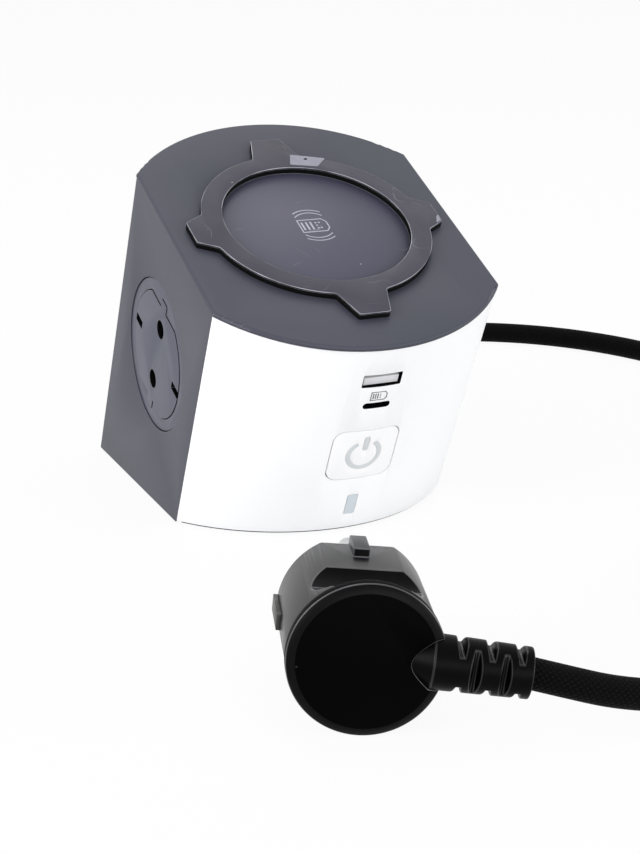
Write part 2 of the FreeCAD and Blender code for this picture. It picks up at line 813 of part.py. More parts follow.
def power_button():
    near = -2 * body_radius
    head = rounded_slot(button_width, button_tall, button_round, button_height, near, -cover_radius / 2)
    head = head.common(pipe(cover_radius, cover_radius - button_face, 0, axis_height))
    wide = rounded_slot(button_width + 2 * button_flange_margin, button_tall + 2 * button_flange_margin,
                        button_round + button_flange_margin, button_height, near, -cover_radius / 2)
    flange_outer = cover_inside - button_gap
    wide = wide.common(pipe(flange_outer, flange_outer - button_flange, 0, axis_height))
    stem_start = -flange_outer + button_flange / 2
    stem_length = switch_front() - stem_gap - stem_start
    stem = Part.makeCylinder(stem_radius, stem_length, V(0, stem_start, button_height), V(0, 1, 0))
    cap = fused([head, wide, stem])
    groove = pipe(cover_radius + 1, cover_radius - symbol_depth - symbol_gap, 0, axis_height)
    for solid in symbol_solids(symbol_gap):
        cap = cap.cut(solid.common(groove))
    return to_desk(cap)


def switch_front():
    return frame_front - 10.0


def power_symbol():
    skin = pipe(cover_radius, cover_radius - symbol_depth, 0, axis_height)
    return to_desk(Part.makeCompound([s.common(skin) for s in symbol_solids(0.0)]))


def power_switch():
    body = box(-switch_size[0] / 2, switch_size[0] / 2, switch_front(), frame_front,
               button_height - switch_size[1] / 2, button_height + switch_size[1] / 2)
    mouth = V(0, switch_front() - 0.01, button_height)
    hole = Part.makeCylinder(stem_radius + fit_gap, button_travel + 1.0, mouth, V(0, 1, 0))
    return to_desk(body.cut(hole))


def button_spring():
    start = -(cover_inside - button_gap - button_flange) + seam
    length = switch_front() - start
    coil = spring(stem_radius + 1.0, button_spring_wire, length - button_spring_wire, button_spring_turns)
    coil.rotate(V(0, 0, 0), V(1, 0, 0), -90)
    coil.translate(V(0, start + button_spring_wire / 2, button_height))
    return to_desk(coil)


def status_lens():
    near = -2 * body_radius
    head = rounded_slot(lens_width, lens_tall, lens_round, lens_height, near, -body_radius / 3)
    head = head.common(pipe(cover_radius, cover_radius - lens_head_depth, 0, axis_height))
    half_x, half_z = lens_pipe_half
    start = -cover_radius + lens_head_depth / 2
    led_face = frame_front - led_size[2]
    light_pipe = box(-half_x, half_x, start, led_face, lens_height - half_z, lens_height + half_z)
    return to_desk(fused([head, light_pipe]))


def status_led():
    return to_desk(box(-led_size[0] / 2, led_size[0] / 2, frame_front - led_size[2], frame_front,
                       lens_height - led_size[1] / 2, lens_height + led_size[1] / 2))


# ---- power board --------------------------------------------------------------------------
def power_board():
    top = board_underside + board_thickness
    board = box(-board_half, board_half, board_front, board_back, board_underside, top)
    for x in (-board_half + 5, board_half - 5):
        for y in (board_front + 5, board_back - 5):
            board = board.fuse(rod(2.4, base_top, board_underside + 0.1, x, y))
    return board.removeSplitter()


def on_board(size, x, y):
    return block(size, x, y, board_underside + board_thickness)


def transformer():
    x = transformer_spot[0]
    y = board_back - transformer_spot[1]
    core = on_board(transformer_size, x, y)
    low = board_underside + board_thickness
    reach = transformer_size[1] / 2 + winding_overhang
    start = V(x, y - reach, low + transformer_size[2] / 2)
    winding = Part.makeCylinder(transformer_size[2] / 2 - 1.2, 2 * reach, start, V(0, 1, 0))
    return fused([core, winding])


def capacitors():
    low = board_underside + board_thickness
    high = low + capacitor_height
    return Part.makeCompound([
        rod(capacitor_radius, low, high, x, board_front + inset) for x, inset in capacitor_spots])


def terminal_place():
    return terminal_spot[0], board_back - terminal_spot[1]


def terminal_block():
    x, y = terminal_place()
    body = on_board(terminal_size, x, y)
    top = board_underside + board_thickness + terminal_size[2]
    for offset in (-terminal_pitch, 0, terminal_pitch):
        body = body.cut(rod(1.6, top - 3, top + 1, x + offset, y))
    return body


# ---- lead: gland, clamp, runs and coil ----------------------------------------------------
def gland_frame():
    """The point where the lead's axis passes the cover's outside, and its direction."""
    x = cover_radius * math.sin(math.radians(gland_angle))
    point = V(x, wall_y(cover_radius, x, gland_height, 1), gland_height)
    turn = math.atan(math.tan(math.radians(gland_angle)) / math.cos(tilt))
    return point, V(math.sin(turn), math.cos(turn), 0)


def gland_rod(radius, start, end, radius_end=None):
    point, way = gland_frame()
    base = point + way * start
    if radius_end is None:
        return Part.makeCylinder(radius, end - start, base, way)
    return Part.makeCone(radius, radius_end, end - start, base, way)


def cord_gland():
    """Tapered strain relief, gripping the rear cover's wall between two collars."""
    wall = to_desk(pipe(cover_radius + seam / 2, cover_inside - seam / 2, wall_foot, plate_under))
    collar = gland_rod(gland_collar_radius, -gland_collar_in, gland_collar_out).cut(wall)
    taper_root = gland_collar_radius - 0.6
    taper = gland_rod(taper_root, gland_collar_out - 0.1, gland_length, gland_tip_radius)
    taper = taper.cut(wall)
    slope = (taper_root - gland_tip_radius) / (gland_length - gland_collar_out)
    for k in range(gland_grooves):
        at = gland_collar_out + gland_groove_pitch * (k + 0.75)
        floor = taper_root - slope * (at - gland_collar_out) - gland_groove
        ring = gland_rod(gland_collar_radius + 1, at, at + gland_groove_width)
        taper = taper.cut(ring.cut(gland_rod(floor, at - 1, at + gland_groove_width + 1)))
    gland = fused([gland_rod(gland_neck_radius, -gland_collar_in, gland_collar_out), collar, taper])
    return gland


def inner_lead():
    return gland_rod(lead_radius, -inner_lead_end, -gland_collar_in)


def along_gland(start, end, half_width, low, high):
    """A block on the desk's axes, turned to lie along the lead's way in."""
    point, way = gland_frame()
    piece = box(-half_width, half_width, start, end, low, high)
    turn = FreeCAD.Rotation(V(0, 1, 0), way)
    piece.Placement = FreeCAD.Placement(V(point.x, point.y, 0), turn)
    return piece


def mains_wires():
    """Three insulated wires from the lead's cut end to the terminal block."""
    point, way = gland_frame()
    across = V(way.y, -way.x, 0)
    x, y = terminal_place()
    back = y + terminal_size[1] / 2
    height = board_underside + board_thickness + terminal_size[2] / 2
    wires = []
    for offset in (-1, 0, 1):
        start = point - way * inner_lead_end + across * offset * wire_spread
        bend = start - way * wire_lead
        target = V(x + offset * terminal_pitch, back, height)
        turn_in = target + V(0, wire_lead, 0)
        wires.append(tube([tuple(start), tuple(bend), tuple(turn_in), tuple(target)], wire_radius, "wire"))
    return Part.makeCompound(wires)


def supply_wires():
    """One wire from the power board up to each contact bar."""
    wires = []
    for up in (-pin_half_pitch, pin_half_pitch):
        bar = to_desk(Part.Vertex(0, 0, socket_height + up)).Point
        low = board_underside + board_thickness
        wires.append(rod(wire_radius, low, bar.z - bar_radius, bar.x, bar.y))
    return Part.makeCompound(wires)


def cord_clamp():
    start, end = -clamp_distance - clamp_width / 2, -clamp_distance + clamp_width / 2
    inside = lead_radius + seam
    arch = along_gland(start, end, inside + clamp_wall, base_top, gland_height + inside + clamp_wall)
    feet = along_gland(start, end, inside + clamp_wall + clamp_foot, base_top, base_top + clamp_wall)
    body = fused([arch, feet])
    return body.cut(gland_rod(inside, start - 5, end + 5))


def clamp_screws():
    point, way = gland_frame()
    across = V(way.y, -way.x, 0)
    screws = []
    reach = lead_radius + seam + clamp_wall + clamp_foot / 2
    for side in (-1, 1):
        spot = point - way * clamp_distance + across * side * reach
        screws.append(rod(2.1, base_top + clamp_wall, base_top + clamp_wall + 1.4, spot.x, spot.y))
    return Part.makeCompound(screws)


def tube(points, radius, label):
    """Straight runs joined by tangent arcs, each as large as its two runs allow."""
    spots = [V(*p) for p in points]
    edges, radii, start = [], [], spots[0]
    for before, here, after in zip(spots, spots[1:], spots[2:]):
        way_in, way_out = (here - before), (after - here)
        shorter = min(way_in.Length, way_out.Length)
        turn = way_in.getAngle(way_out)
        way_in.normalize()
        way_out.normalize()
        bend = 0.45 * shorter / math.tan(turn / 2)
        radii.append(bend)
        first, last = here - way_in * (0.45 * shorter), here + way_out * (0.45 * shorter)
        inward = (way_out - way_in)
        inward.normalize()
        middle = here + inward * (bend / math.cos(turn / 2) - bend)
        edges.append(Part.makeLine(start, first))
        edges.append(Part.Arc(first, middle, last).toShape())
        start = last
    edges.append(Part.makeLine(start, spots[-1]))
    path = Part.Wire(edges)
    heading = spots[1] - spots[0]
    ring = Part.Wire(Part.makeCircle(radius, spots[0], heading))
    solid = path.makePipeShell([ring], True, False)
    exact = math.pi * radius ** 2 * path.Length
    shown = " ".join(f"{r:.0f}" for r in radii)
    print(f"{label}: length {path.Length:.1f}, volume ratio {solid.Volume / exact:.4f}, radii {shown}")
    return solid


def turn_radii():
    """Radii of the outer and the inner turns of the coil, side by side."""
    half = (lead_diameter + coil_turn_gap) / 2
    return coil_middle_radius + half, coil_middle_radius - half


def turn_height(layer):
    """Height of the lead's axis in a layer of the coil."""
    return desk_gap + lead_radius + layer * (lead_diameter + coil_turn_gap)


def cord_rear_run():
    point, way = gland_frame()
    exit_point = point + way * gland_length
    outer, _ = turn_radii()
    coil_end = (coil_centre[0] + outer, coil_centre[1], turn_height(coil_layers - 1))
    return tube([tuple(exit_point)] + route_to_coil + [coil_end], lead_radius, "cord_rear_run")


def cord_coil():
    """The outer shape of the put-away turns: a ring with rounded edges."""
    outer, inner = turn_radii()
    low = desk_gap
    high = turn_height(coil_layers - 1) + lead_radius
    ring = pipe(outer + lead_radius, inner - lead_radius, low, high, coil_centre[0], coil_centre[1])
    return ring.makeFillet(lead_radius * 0.7, [e for e in ring.Edges if e.Closed])


def cord_plug_run():
    outer, _ = turn_radii()
    coil_end = (coil_centre[0], coil_centre[1] - outer, turn_height(0))
    return tube([coil_end] + route_to_plug + [tuple(relief_tip())], lead_radius, "cord_plug_run")


# ---- plug: drawn with X to its lead, Y along its pins, Z up ----------------------------------
def plug_turn():
    return FreeCAD.Rotation(V(0, 0, 1), plug_heading).multiply(
        FreeCAD.Rotation(V(1, 0, 0), plug_pitch)).multiply(FreeCAD.Rotation(V(0, 1, 0), plug_roll))


def plug_lift():
    """How high the plug's axis starts over the desk when its rim and its nose rest on it."""
    placed = Part.makeCompound([cap_solid(), body_solid()])
    placed.Placement = FreeCAD.Placement(V(0, 0, 0), plug_turn())
    return desk_gap - placed.optimalBoundingBox().ZMin


def plug_placement():
    return FreeCAD.Placement(V(plug_spot[0], plug_spot[1], plug_lift()), plug_turn())


def lay_plug(shape):
    placed = shape.copy()
    placed.Placement = plug_placement().multiply(placed.Placement)
    return placed


def along(radius, start, end, radius_end=None):
    if radius_end is None:
        return Part.makeCylinder(radius, end - start, V(0, start, 0), V(0, 1, 0))
    return Part.makeCone(radius, radius_end, end - start, V(0, start, 0), V(0, 1, 0))


def relief_place():
    """Where the strain relief's own axis, its X, starts and points on the plug."""
    turn = FreeCAD.Rotation(V(0, 0, 1), relief_turn).multiply(FreeCAD.Rotation(V(0, 1, 0), relief_droop))
    return FreeCAD.Placement(V(relief_start[0], relief_start[1], 0), turn)


def relief_bar(radius, start, end, radius_end=None):
    """A round bar along the strain relief's own axis."""
    base, way = relief_place().multVec(V(start, 0, 0)), relief_place().Rotation.multVec(V(1, 0, 0))
    if radius_end is None:
        return Part.makeCylinder(radius, end - start, base, way)
    return Part.makeCone(radius, radius_end, end - start, base, way)


def relief_tip():
    return plug_placement().multVec(relief_place().multVec(V(relief_length, 0, 0)))


def cap_solid():
    cap = along(cap_radius, cap_bevel_depth, cap_thickness)
    bevel = along(cap_radius - cap_bevel, 0, cap_bevel_depth, cap_radius)
    return fused([cap, bevel]).cut(relief_clearance())


def relief_clearance():
    return fused(relief_bars(0.0))


def relief_bars(extra):
    slope = (relief_root_radius - relief_tip_radius) / relief_length
    cone = relief_bar(0.6, -relief_cone_length, 0.0, relief_root_radius + extra)
    tip = relief_root_radius - slope * relief_length + extra
    stem = relief_bar(relief_root_radius + extra, 0.0, relief_length, tip)
    return [cone, stem]


def body_solid():
    body = along(plug_radius, cap_thickness, plug_length)
    nose = [e for e in body.Edges if e.Closed and abs(e.CenterOfMass.y - plug_length) < 0.01]
    body = body.makeFillet(0.8, nose)
    body = body.common(box(-big, big, -big, big, -plug_flat, plug_flat))
    for side in (-1, 1):
        centre = V(-big, scoop_spot[0], side * scoop_spot[1])
        body = body.cut(Part.makeCylinder(scoop_radius, 2 * big, centre, V(1, 0, 0)))
    for side in (-1, 1):
        slot = sorted([side * (plug_radius + strip_proud - strip_thickness), side * (plug_radius + 3)])
        body = body.cut(box(slot[0], slot[1], strip_start, plug_length + 1, -strip_half, strip_half))
    body = body.fuse(box(-guide_half, guide_half, guide_start, plug_length, plug_flat - 1, guide_top))
    body = body.removeSplitter()
    return body.cut(relief_clearance())


def plug_pins():
    pins = []
    for side in (-1, 1):
        pin = Part.makeCylinder(pin_radius, pin_length, V(0, plug_length, side * pin_half_pitch), V(0, 1, 0))
        tip = [e for e in pin.Edges if e.Closed and abs(e.CenterOfMass.y - plug_length - pin_length) < 0.01]
        pins.append(pin.makeFillet(pin_radius * 0.72, tip))
    return lay_plug(Part.makeCompound(pins))


def plug_earth_strips():
    strips = []
    face = plug_radius + strip_proud
    for side in (-1, 1):
        edge = sorted([side * (face - strip_thickness), side * face])
        strips.append(box(edge[0], edge[1], strip_start, plug_length - 0.5, -strip_half, strip_half))
    return lay_plug(Part.makeCompound(strips))


def relief_notch(at, turn):
    """A notch with sloping sides across the strain relief, at a place along it and turned round it."""
    near, top = -big / 10, relief_root_radius + 0.5
    floor = relief_root_radius - relief_notch_depth
    corners = [
        (-relief_notch_floor, floor), (relief_notch_floor, floor),
        (relief_notch_half, top), (-relief_notch_half, top),
    ]
    outline = [V(at + x, near, z) for x, z in corners]
    cut = Part.Face(Part.makePolygon(outline + outline[:1])).extrude(V(0, big / 5, 0))
    cut.rotate(V(0, 0, 0), V(1, 0, 0), turn)
    return cut


def plug_strain_relief():
    """Notched from above and below, and from both sides half way between those notches."""
    cuts = []
    for k in range(3):
        cuts += [relief_notch(relief_first_notch + relief_rib_pitch * k, turn) for turn in (0, 180)]
    for k in range(2):
        cuts += [relief_notch(relief_first_notch + relief_rib_pitch * (k + 0.5), turn) for turn in (90, 270)]
    relief = fused(relief_bars(0.0))
    for cut in cuts:
        cut.Placement = relief_place().multiply(cut.Placement)
        relief = relief.cut(cut)
    return lay_plug(relief)


# ---- write every piece ------------------------------------------------------------------------
def main():
    os.makedirs("parts", exist_ok=True)
    pieces = {
        "outer_shell": outer_shell(),
        "front_cover": front_cover(),
        "rear_cover": rear_cover(),
        "base_plate": base_plate(),
        "rubber_feet": rubber_feet(),
        "base_screws": base_screws(),
        "grip_ring": grip_ring(),
        "ring_cap": ring_cap(),
        "charging_pad": charging_pad(),
        "coil_tray": coil_tray(),
        "ferrite_sheet": ferrite_sheet(),
        "charging_coil": charging_coil(),
        "charger_board": charger_board(),
        "line_contact_bar": to_desk(contact_bar(pin_half_pitch)),
        "neutral_contact_bar": to_desk(contact_bar(-pin_half_pitch)),
        "front_frame": front_frame(),
        "frame_screws": frame_screws(),
        "usb_board": usb_board(),
        "usb_a_shell": usb_a_shell(),
        "usb_a_tongue": usb_a_tongue(),
        "usb_c_shell": usb_c_shell(),
        "usb_c_tongue": usb_c_tongue(),
        "power_button": power_button(),
        "power_symbol": power_symbol(),
        "button_spring": button_spring(),
        "power_switch": power_switch(),
        "status_lens": status_lens(),
        "status_led": status_led(),
        "power_board": power_board(),
        "transformer": transformer(),
        "capacitors": capacitors(),
        "terminal_block": terminal_block(),
        "cord_gland": cord_gland(),
        "inner_lead": inner_lead(),
        "mains_wires": mains_wires(),
        "supply_wires": supply_wires(),
        "cord_clamp": cord_clamp(),
        "clamp_screws": clamp_screws(),
        "cord_rear_run": cord_rear_run(),
        "cord_coil": cord_coil(),
        "cord_plug_run": cord_plug_run(),
        "plug_cap": lay_plug(cap_solid()),
        "plug_body": lay_plug(body_solid()),
        "plug_pins": plug_pins(),
        "plug_earth_strips": plug_earth_strips(),
        "plug_strain_relief": plug_strain_relief(),
    }
    socket_pieces = {
        "socket_bezel": socket_bezel(),
        "socket_face": socket_face(),
        "face_spring": face_spring(),
        "socket_housing": socket_housing(),
        "earth_clips": earth_clips(),
        "housing_screws": housing_screws(),
    }
    for name, shape in socket_pieces.items():
        pieces["left_" + name] = to_desk(shape)
        pieces["right_" + name] = to_desk(mirrored(shape))
    for name, shape in pieces.items():
        export(name, shape)
    print("pieces", len(pieces), "base centre", base_centre_y)


main()
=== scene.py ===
import json
import math

import bmesh
import bpy
from mathutils import Euler, Matrix, Vector

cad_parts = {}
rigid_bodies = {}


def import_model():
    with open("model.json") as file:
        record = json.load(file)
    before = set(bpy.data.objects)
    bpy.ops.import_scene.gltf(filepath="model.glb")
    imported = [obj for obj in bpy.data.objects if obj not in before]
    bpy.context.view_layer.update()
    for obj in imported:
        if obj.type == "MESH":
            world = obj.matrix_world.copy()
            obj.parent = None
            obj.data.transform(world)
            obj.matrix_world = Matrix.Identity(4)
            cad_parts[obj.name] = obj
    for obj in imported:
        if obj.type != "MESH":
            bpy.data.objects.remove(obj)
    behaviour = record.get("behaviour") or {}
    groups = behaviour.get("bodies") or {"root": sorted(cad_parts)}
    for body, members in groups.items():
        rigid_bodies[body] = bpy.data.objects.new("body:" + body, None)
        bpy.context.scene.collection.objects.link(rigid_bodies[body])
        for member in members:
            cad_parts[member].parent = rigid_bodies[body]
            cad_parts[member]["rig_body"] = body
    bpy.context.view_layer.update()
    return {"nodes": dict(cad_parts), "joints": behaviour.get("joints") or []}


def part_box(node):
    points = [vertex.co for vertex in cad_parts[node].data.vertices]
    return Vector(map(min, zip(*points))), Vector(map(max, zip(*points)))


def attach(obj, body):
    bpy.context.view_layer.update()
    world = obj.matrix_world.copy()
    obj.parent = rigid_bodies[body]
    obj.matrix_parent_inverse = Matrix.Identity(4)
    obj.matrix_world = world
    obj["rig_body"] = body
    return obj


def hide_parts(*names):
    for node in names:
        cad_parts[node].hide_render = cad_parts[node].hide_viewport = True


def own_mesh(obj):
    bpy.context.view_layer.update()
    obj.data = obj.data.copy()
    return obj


# Looks for a desk power tower: a leaning round tower with a charging pad and grip ring on
# top, a mains socket in each flat side, charging ports and a power button in front, and a
# braided lead that ends in an angled plug. Lengths times MM are millimetres. All others, and
# the frame that the solid model shares, are metres.

for thing in list(bpy.data.objects):
    bpy.data.objects.remove(thing)

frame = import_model()
MM = 0.001

# ---- camera ------------------------------------------------------------------------

camera_data = bpy.data.cameras.new("camera")
camera_data.sensor_fit = "HORIZONTAL"
camera_data.sensor_width = 36.0
camera_data.lens = 101.85
camera = bpy.data.objects.new("camera", camera_data)
camera.location = (-217.506 * MM, -503.561 * MM, 204.475 * MM)
camera.rotation_euler = Euler((math.radians(71.248), math.radians(-0.655), math.radians(-24.371)))
bpy.context.scene.collection.objects.link(camera)
bpy.context.scene.camera = camera

# ---- the tower's leaning frame ---------------------------------------------------------

joints = {joint["name"]: joint for joint in frame["joints"]}
press_axis = joints["button_press"]["axis"]
LEAN = math.atan2(press_axis[2], press_axis[1])
BODY_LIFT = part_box("outer_shell")[0].z


def tower_placement():
    """The matrix from the tower's leaning drawing to the frame.
    In the drawing X is across, Y is to the back, and Z is along the tower's axis."""
    low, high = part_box("charging_pad")
    pad_radius = (high.x - low.x) / 2
    pad_top = (high.z - BODY_LIFT - pad_radius * math.sin(LEAN)) / math.cos(LEAN)
    axis_y = low.y + pad_radius * math.cos(LEAN) + pad_top * math.sin(LEAN)
    return Matrix.Translation((0, axis_y, BODY_LIFT)) @ Matrix.Rotation(LEAN, 4, "X")


TOWER = tower_placement()
FROM_TOWER = TOWER.inverted()


def tower_box(node):
    """The lowest and highest corners of a CAD node, in the tower's leaning drawing."""
    points = [FROM_TOWER @ vertex.co for vertex in frame["nodes"][node].data.vertices]
    low = Vector(min(point[axis] for point in points) for axis in range(3))
    high = Vector(max(point[axis] for point in points) for axis in range(3))
    return low, high


# ---- tools for shaping a piece ------------------------------------------------------------

def take_up(piece):
    """Makes one piece the only selected one, and the active one."""
    for other in bpy.context.selected_objects:
        other.select_set(False)
    piece.select_set(True)
    bpy.context.view_layer.objects.active = piece


def put_down():
    """Leaves nothing selected, so that the next primitive stands alone."""
    for other in bpy.context.selected_objects:
        other.select_set(False)
    bpy.context.view_layer.objects.active = None


def apply_modifier(piece, name, kind, **settings):
    """Adds one modifier to a piece and applies it."""
    modifier = piece.modifiers.new(name, kind)
    for key, value in settings.items():
        setattr(modifier, key, value)
    take_up(piece)
    bpy.ops.object.modifier_apply(modifier=modifier.name)


def select_faces(piece, wanted):
    """In edit mode, selects only the faces whose middle passes the test."""
    bpy.ops.mesh.select_mode(type="FACE")
    bpy.ops.mesh.select_all(action="DESELECT")
    mesh = bmesh.from_edit_mesh(piece.data)
    for face in mesh.faces:
        face.select_set(wanted(face.calc_center_median()))
    bmesh.update_edit_mesh(piece.data)


def join(pieces, name):
    """Joins several new pieces into one, under a new name."""
    take_up(pieces[0])
    for piece in pieces[1:]:
        piece.select_set(True)
    bpy.ops.object.join()
    pieces[0].name = name
    return pieces[0]


def place(piece, matrix):
    """Moves a finished piece's mesh into the frame, and leaves its object at the origin."""
    piece.data.transform(matrix)
    piece.data.update()


# ---- tools for materials ------------------------------------------------------------------

def colour(red, green, blue):
    """A display colour, 0 to 255, as the shader's linear values."""
    def linear(value):
        part = value / 255
        if part <= 0.04045:
            return part / 12.92
        return ((part + 0.055) / 1.055) ** 2.4
    return (linear(red), linear(green), linear(blue), 1.0)


def add(tree, kind, sockets=None, **settings):
    """A new node. Each socket gets a value, or a link where the value is another node's output."""
    node = tree.nodes.new(kind)
    for key, value in settings.items():
        setattr(node, key, value)
    for key, value in (sockets or {}).items():
        if isinstance(value, bpy.types.NodeSocket):
            tree.links.new(value, node.inputs[key])
        else:
            node.inputs[key].default_value = value
    return node


def calculate(tree, operation, *values):
    """One Math node's result."""
    return add(tree, "ShaderNodeMath", dict(enumerate(values)), operation=operation).outputs[0]


def spread(tree, value, low, high, to_low=0.0, to_high=1.0):
    """A value's range, stretched to a new range and clamped there."""
    sockets = {"Value": value, "From Min": low, "From Max": high, "To Min": to_low, "To Max": to_high}
    return add(tree, "ShaderNodeMapRange", sockets).outputs["Result"]


def mixed(tree, share, first, second):
    """Two colours mixed by a mask."""
    return add(tree, "ShaderNodeMix", {0: share, 6: first, 7: second}, data_type="RGBA").outputs[2]


def new_group(name, inputs, outputs):
    """An empty shader node group with its sockets."""
    tree = bpy.data.node_groups.new(name, "ShaderNodeTree")
    for label, kind, value in inputs:
        socket = tree.interface.new_socket(name=label, in_out="INPUT", socket_type="NodeSocket" + kind)
        if value is not None:
            socket.default_value = value
    for label in outputs:
        tree.interface.new_socket(name=label, in_out="OUTPUT", socket_type="NodeSocketFloat")
    return tree, add(tree, "NodeGroupInput").outputs


def close_group(tree, results):
    """Wires a group's results to its output sockets."""
    add(tree, "NodeGroupOutput", results)
    return tree


def moulded_grain_group():
    """Fine grain of a moulded surface, with broad changes of tone and polish."""
    inputs = [("Coordinates", "Vector", None), ("Grain", "Float", 2500.0), ("Cloud", "Float", 30.0)]
    tree, given = new_group("moulded_grain", inputs, ["Height", "Tone", "Polish"])
    fine_sockets = {"Vector": given["Coordinates"], "Scale": given["Grain"], "Detail": 3.0}
    fine = add(tree, "ShaderNodeTexNoise", fine_sockets).outputs["Fac"]
    broad_sockets = {"Vector": given["Coordinates"], "Scale": given["Cloud"], "Detail": 2.0}
    broad = add(tree, "ShaderNodeTexNoise", broad_sockets).outputs["Fac"]
    fine_part = calculate(tree, "MULTIPLY", fine, 0.4)
    broad_part = calculate(tree, "MULTIPLY", broad, 0.6)
    both = calculate(tree, "ADD", fine_part, broad_part)
    tone = spread(tree, broad, 0.3, 0.7)
    polish = spread(tree, both, 0.3, 0.7)
    return close_group(tree, {"Height": fine, "Tone": tone, "Polish": polish})


def dust_group():
    """Sparse small specks of dust."""
    inputs = [("Coordinates", "Vector", None), ("Density", "Float", 320.0), ("Share", "Float", 0.1)]
    tree, given = new_group("dust", inputs, ["Mask"])
    cell_sockets = {"Vector": given["Coordinates"], "Scale": given["Density"]}
    cells = add(tree, "ShaderNodeTexVoronoi", cell_sockets)
    chance = add(tree, "ShaderNodeSeparateColor", {0: cells.outputs["Color"]})
    largest_speck = 0.14
    reach = calculate(tree, "MULTIPLY", chance.outputs[1], largest_speck)
    near = calculate(tree, "LESS_THAN", cells.outputs["Distance"], reach)
    rare = calculate(tree, "LESS_THAN", chance.outputs[0], given["Share"])
    return close_group(tree, {"Mask": calculate(tree, "MULTIPLY", near, rare)})


def hairline_group():
    """Faint hairlines, where something was slid over the surface."""
    inputs = [("Coordinates", "Vector", None), ("Density", "Float", 60.0), ("Width", "Float", 0.006)]
    tree, given = new_group("hairlines", inputs, ["Mask"])
    warp_sockets = {"Vector": given["Coordinates"], "Scale": given["Density"], "Detail": 0.0,
                    "Distortion": 0.6}
    warp = add(tree, "ShaderNodeTexNoise", warp_sockets).outputs["Fac"]
    off_line = calculate(tree, "ABSOLUTE", calculate(tree, "SUBTRACT", warp, 0.5))
    line = calculate(tree, "LESS_THAN", off_line, given["Width"])
    patch_sockets = {"Vector": given["Coordinates"], "Scale": 140.0, "Detail": 1.0}
    patch = add(tree, "ShaderNodeTexNoise", patch_sockets).outputs["Fac"]
    where = spread(tree, patch, 0.56, 0.64)
    return close_group(tree, {"Mask": calculate(tree, "MULTIPLY", line, where)})


def braid_group():
    """Two sets of strands that wind round a lead both ways and pass over and under each other."""
    inputs = [("Coordinates", "Vector", None), ("Strands", "Float", 16.0)]
    tree, given = new_group("braid", inputs, ["Height", "Crown", "Thread"])
    place_on = add(tree, "ShaderNodeSeparateXYZ", {0: given["Coordinates"]}).outputs
    around = calculate(tree, "MULTIPLY", place_on[0], given["Strands"])
    along = calculate(tree, "MULTIPLY", place_on[1], given["Strands"])
    one_way = calculate(tree, "ADD", around, along)
    other_way = calculate(tree, "SUBTRACT", around, along)

    def crest(cross):
        part = calculate(tree, "FRACT", cross)
        return calculate(tree, "SINE", calculate(tree, "MULTIPLY", part, math.pi))

    def fibres(cross):
        return calculate(tree, "SINE", calculate(tree, "MULTIPLY", cross, 8 * math.pi))

    steps = calculate(tree, "ADD", calculate(tree, "FLOOR", one_way), calculate(tree, "FLOOR", other_way))
    on_top = calculate(tree, "PINGPONG", steps, 1.0)
    first = calculate(tree, "POWER", crest(one_way), 0.6)
    second = calculate(tree, "POWER", crest(other_way), 0.6)
    diamond = calculate(tree, "MULTIPLY", first, second)
    thread = add(tree, "ShaderNodeMix", {0: on_top, 2: fibres(one_way), 3: fibres(other_way)}).outputs[0]
    height = calculate(tree, "ADD", diamond, calculate(tree, "MULTIPLY", thread, 0.06))
    crown = spread(tree, diamond, 0.55, 0.98)
    return close_group(tree, {"Height": height, "Crown": crown, "Thread": spread(tree, thread, -1.0, 1.0)})


GRAIN = moulded_grain_group()
DUST = dust_group()
HAIRLINES = hairline_group()
BRAID = braid_group()


def new_material(name):
    """A material with only its shader and output."""
    material = bpy.data.materials.new(name)
    material.use_nodes = True
    tree = material.node_tree
    tree.nodes.clear()
    shader = add(tree, "ShaderNodeBsdfPrincipled")
    add(tree, "ShaderNodeOutputMaterial", {"Surface": shader.outputs[0]})
    return material, tree, shader


def object_coordinates(tree):
    """Coordinates in the frame, the same for every piece."""
    return add(tree, "ShaderNodeTexCoord").outputs["Object"]


def tower_coordinates(tree):
    """Coordinates along the tower's own leaning axes."""
    place_in = FROM_TOWER.to_translation()
    sockets = {"Vector": object_coordinates(tree), "Location": place_in, "Rotation": (-LEAN, 0, 0)}
    return add(tree, "ShaderNodeMapping", sockets).outputs[0]


def use_group(tree, group, sockets):
    """One use of a node group, with its own values."""
    return add(tree, "ShaderNodeGroup", sockets, node_tree=group).outputs


def set_shader(shader, values):
    """Sets the shader's own constant sockets."""
    for key, value in values.items():
        shader.inputs[key].default_value = value


def dress(tree, shader, tone, rough, bump):
    """Links a finish's colour, polish and bump to its shader."""
    tree.links.new(tone, shader.inputs["Base Color"])
    tree.links.new(rough, shader.inputs["Roughness"])
    tree.links.new(bump.outputs[0], shader.inputs["Normal"])


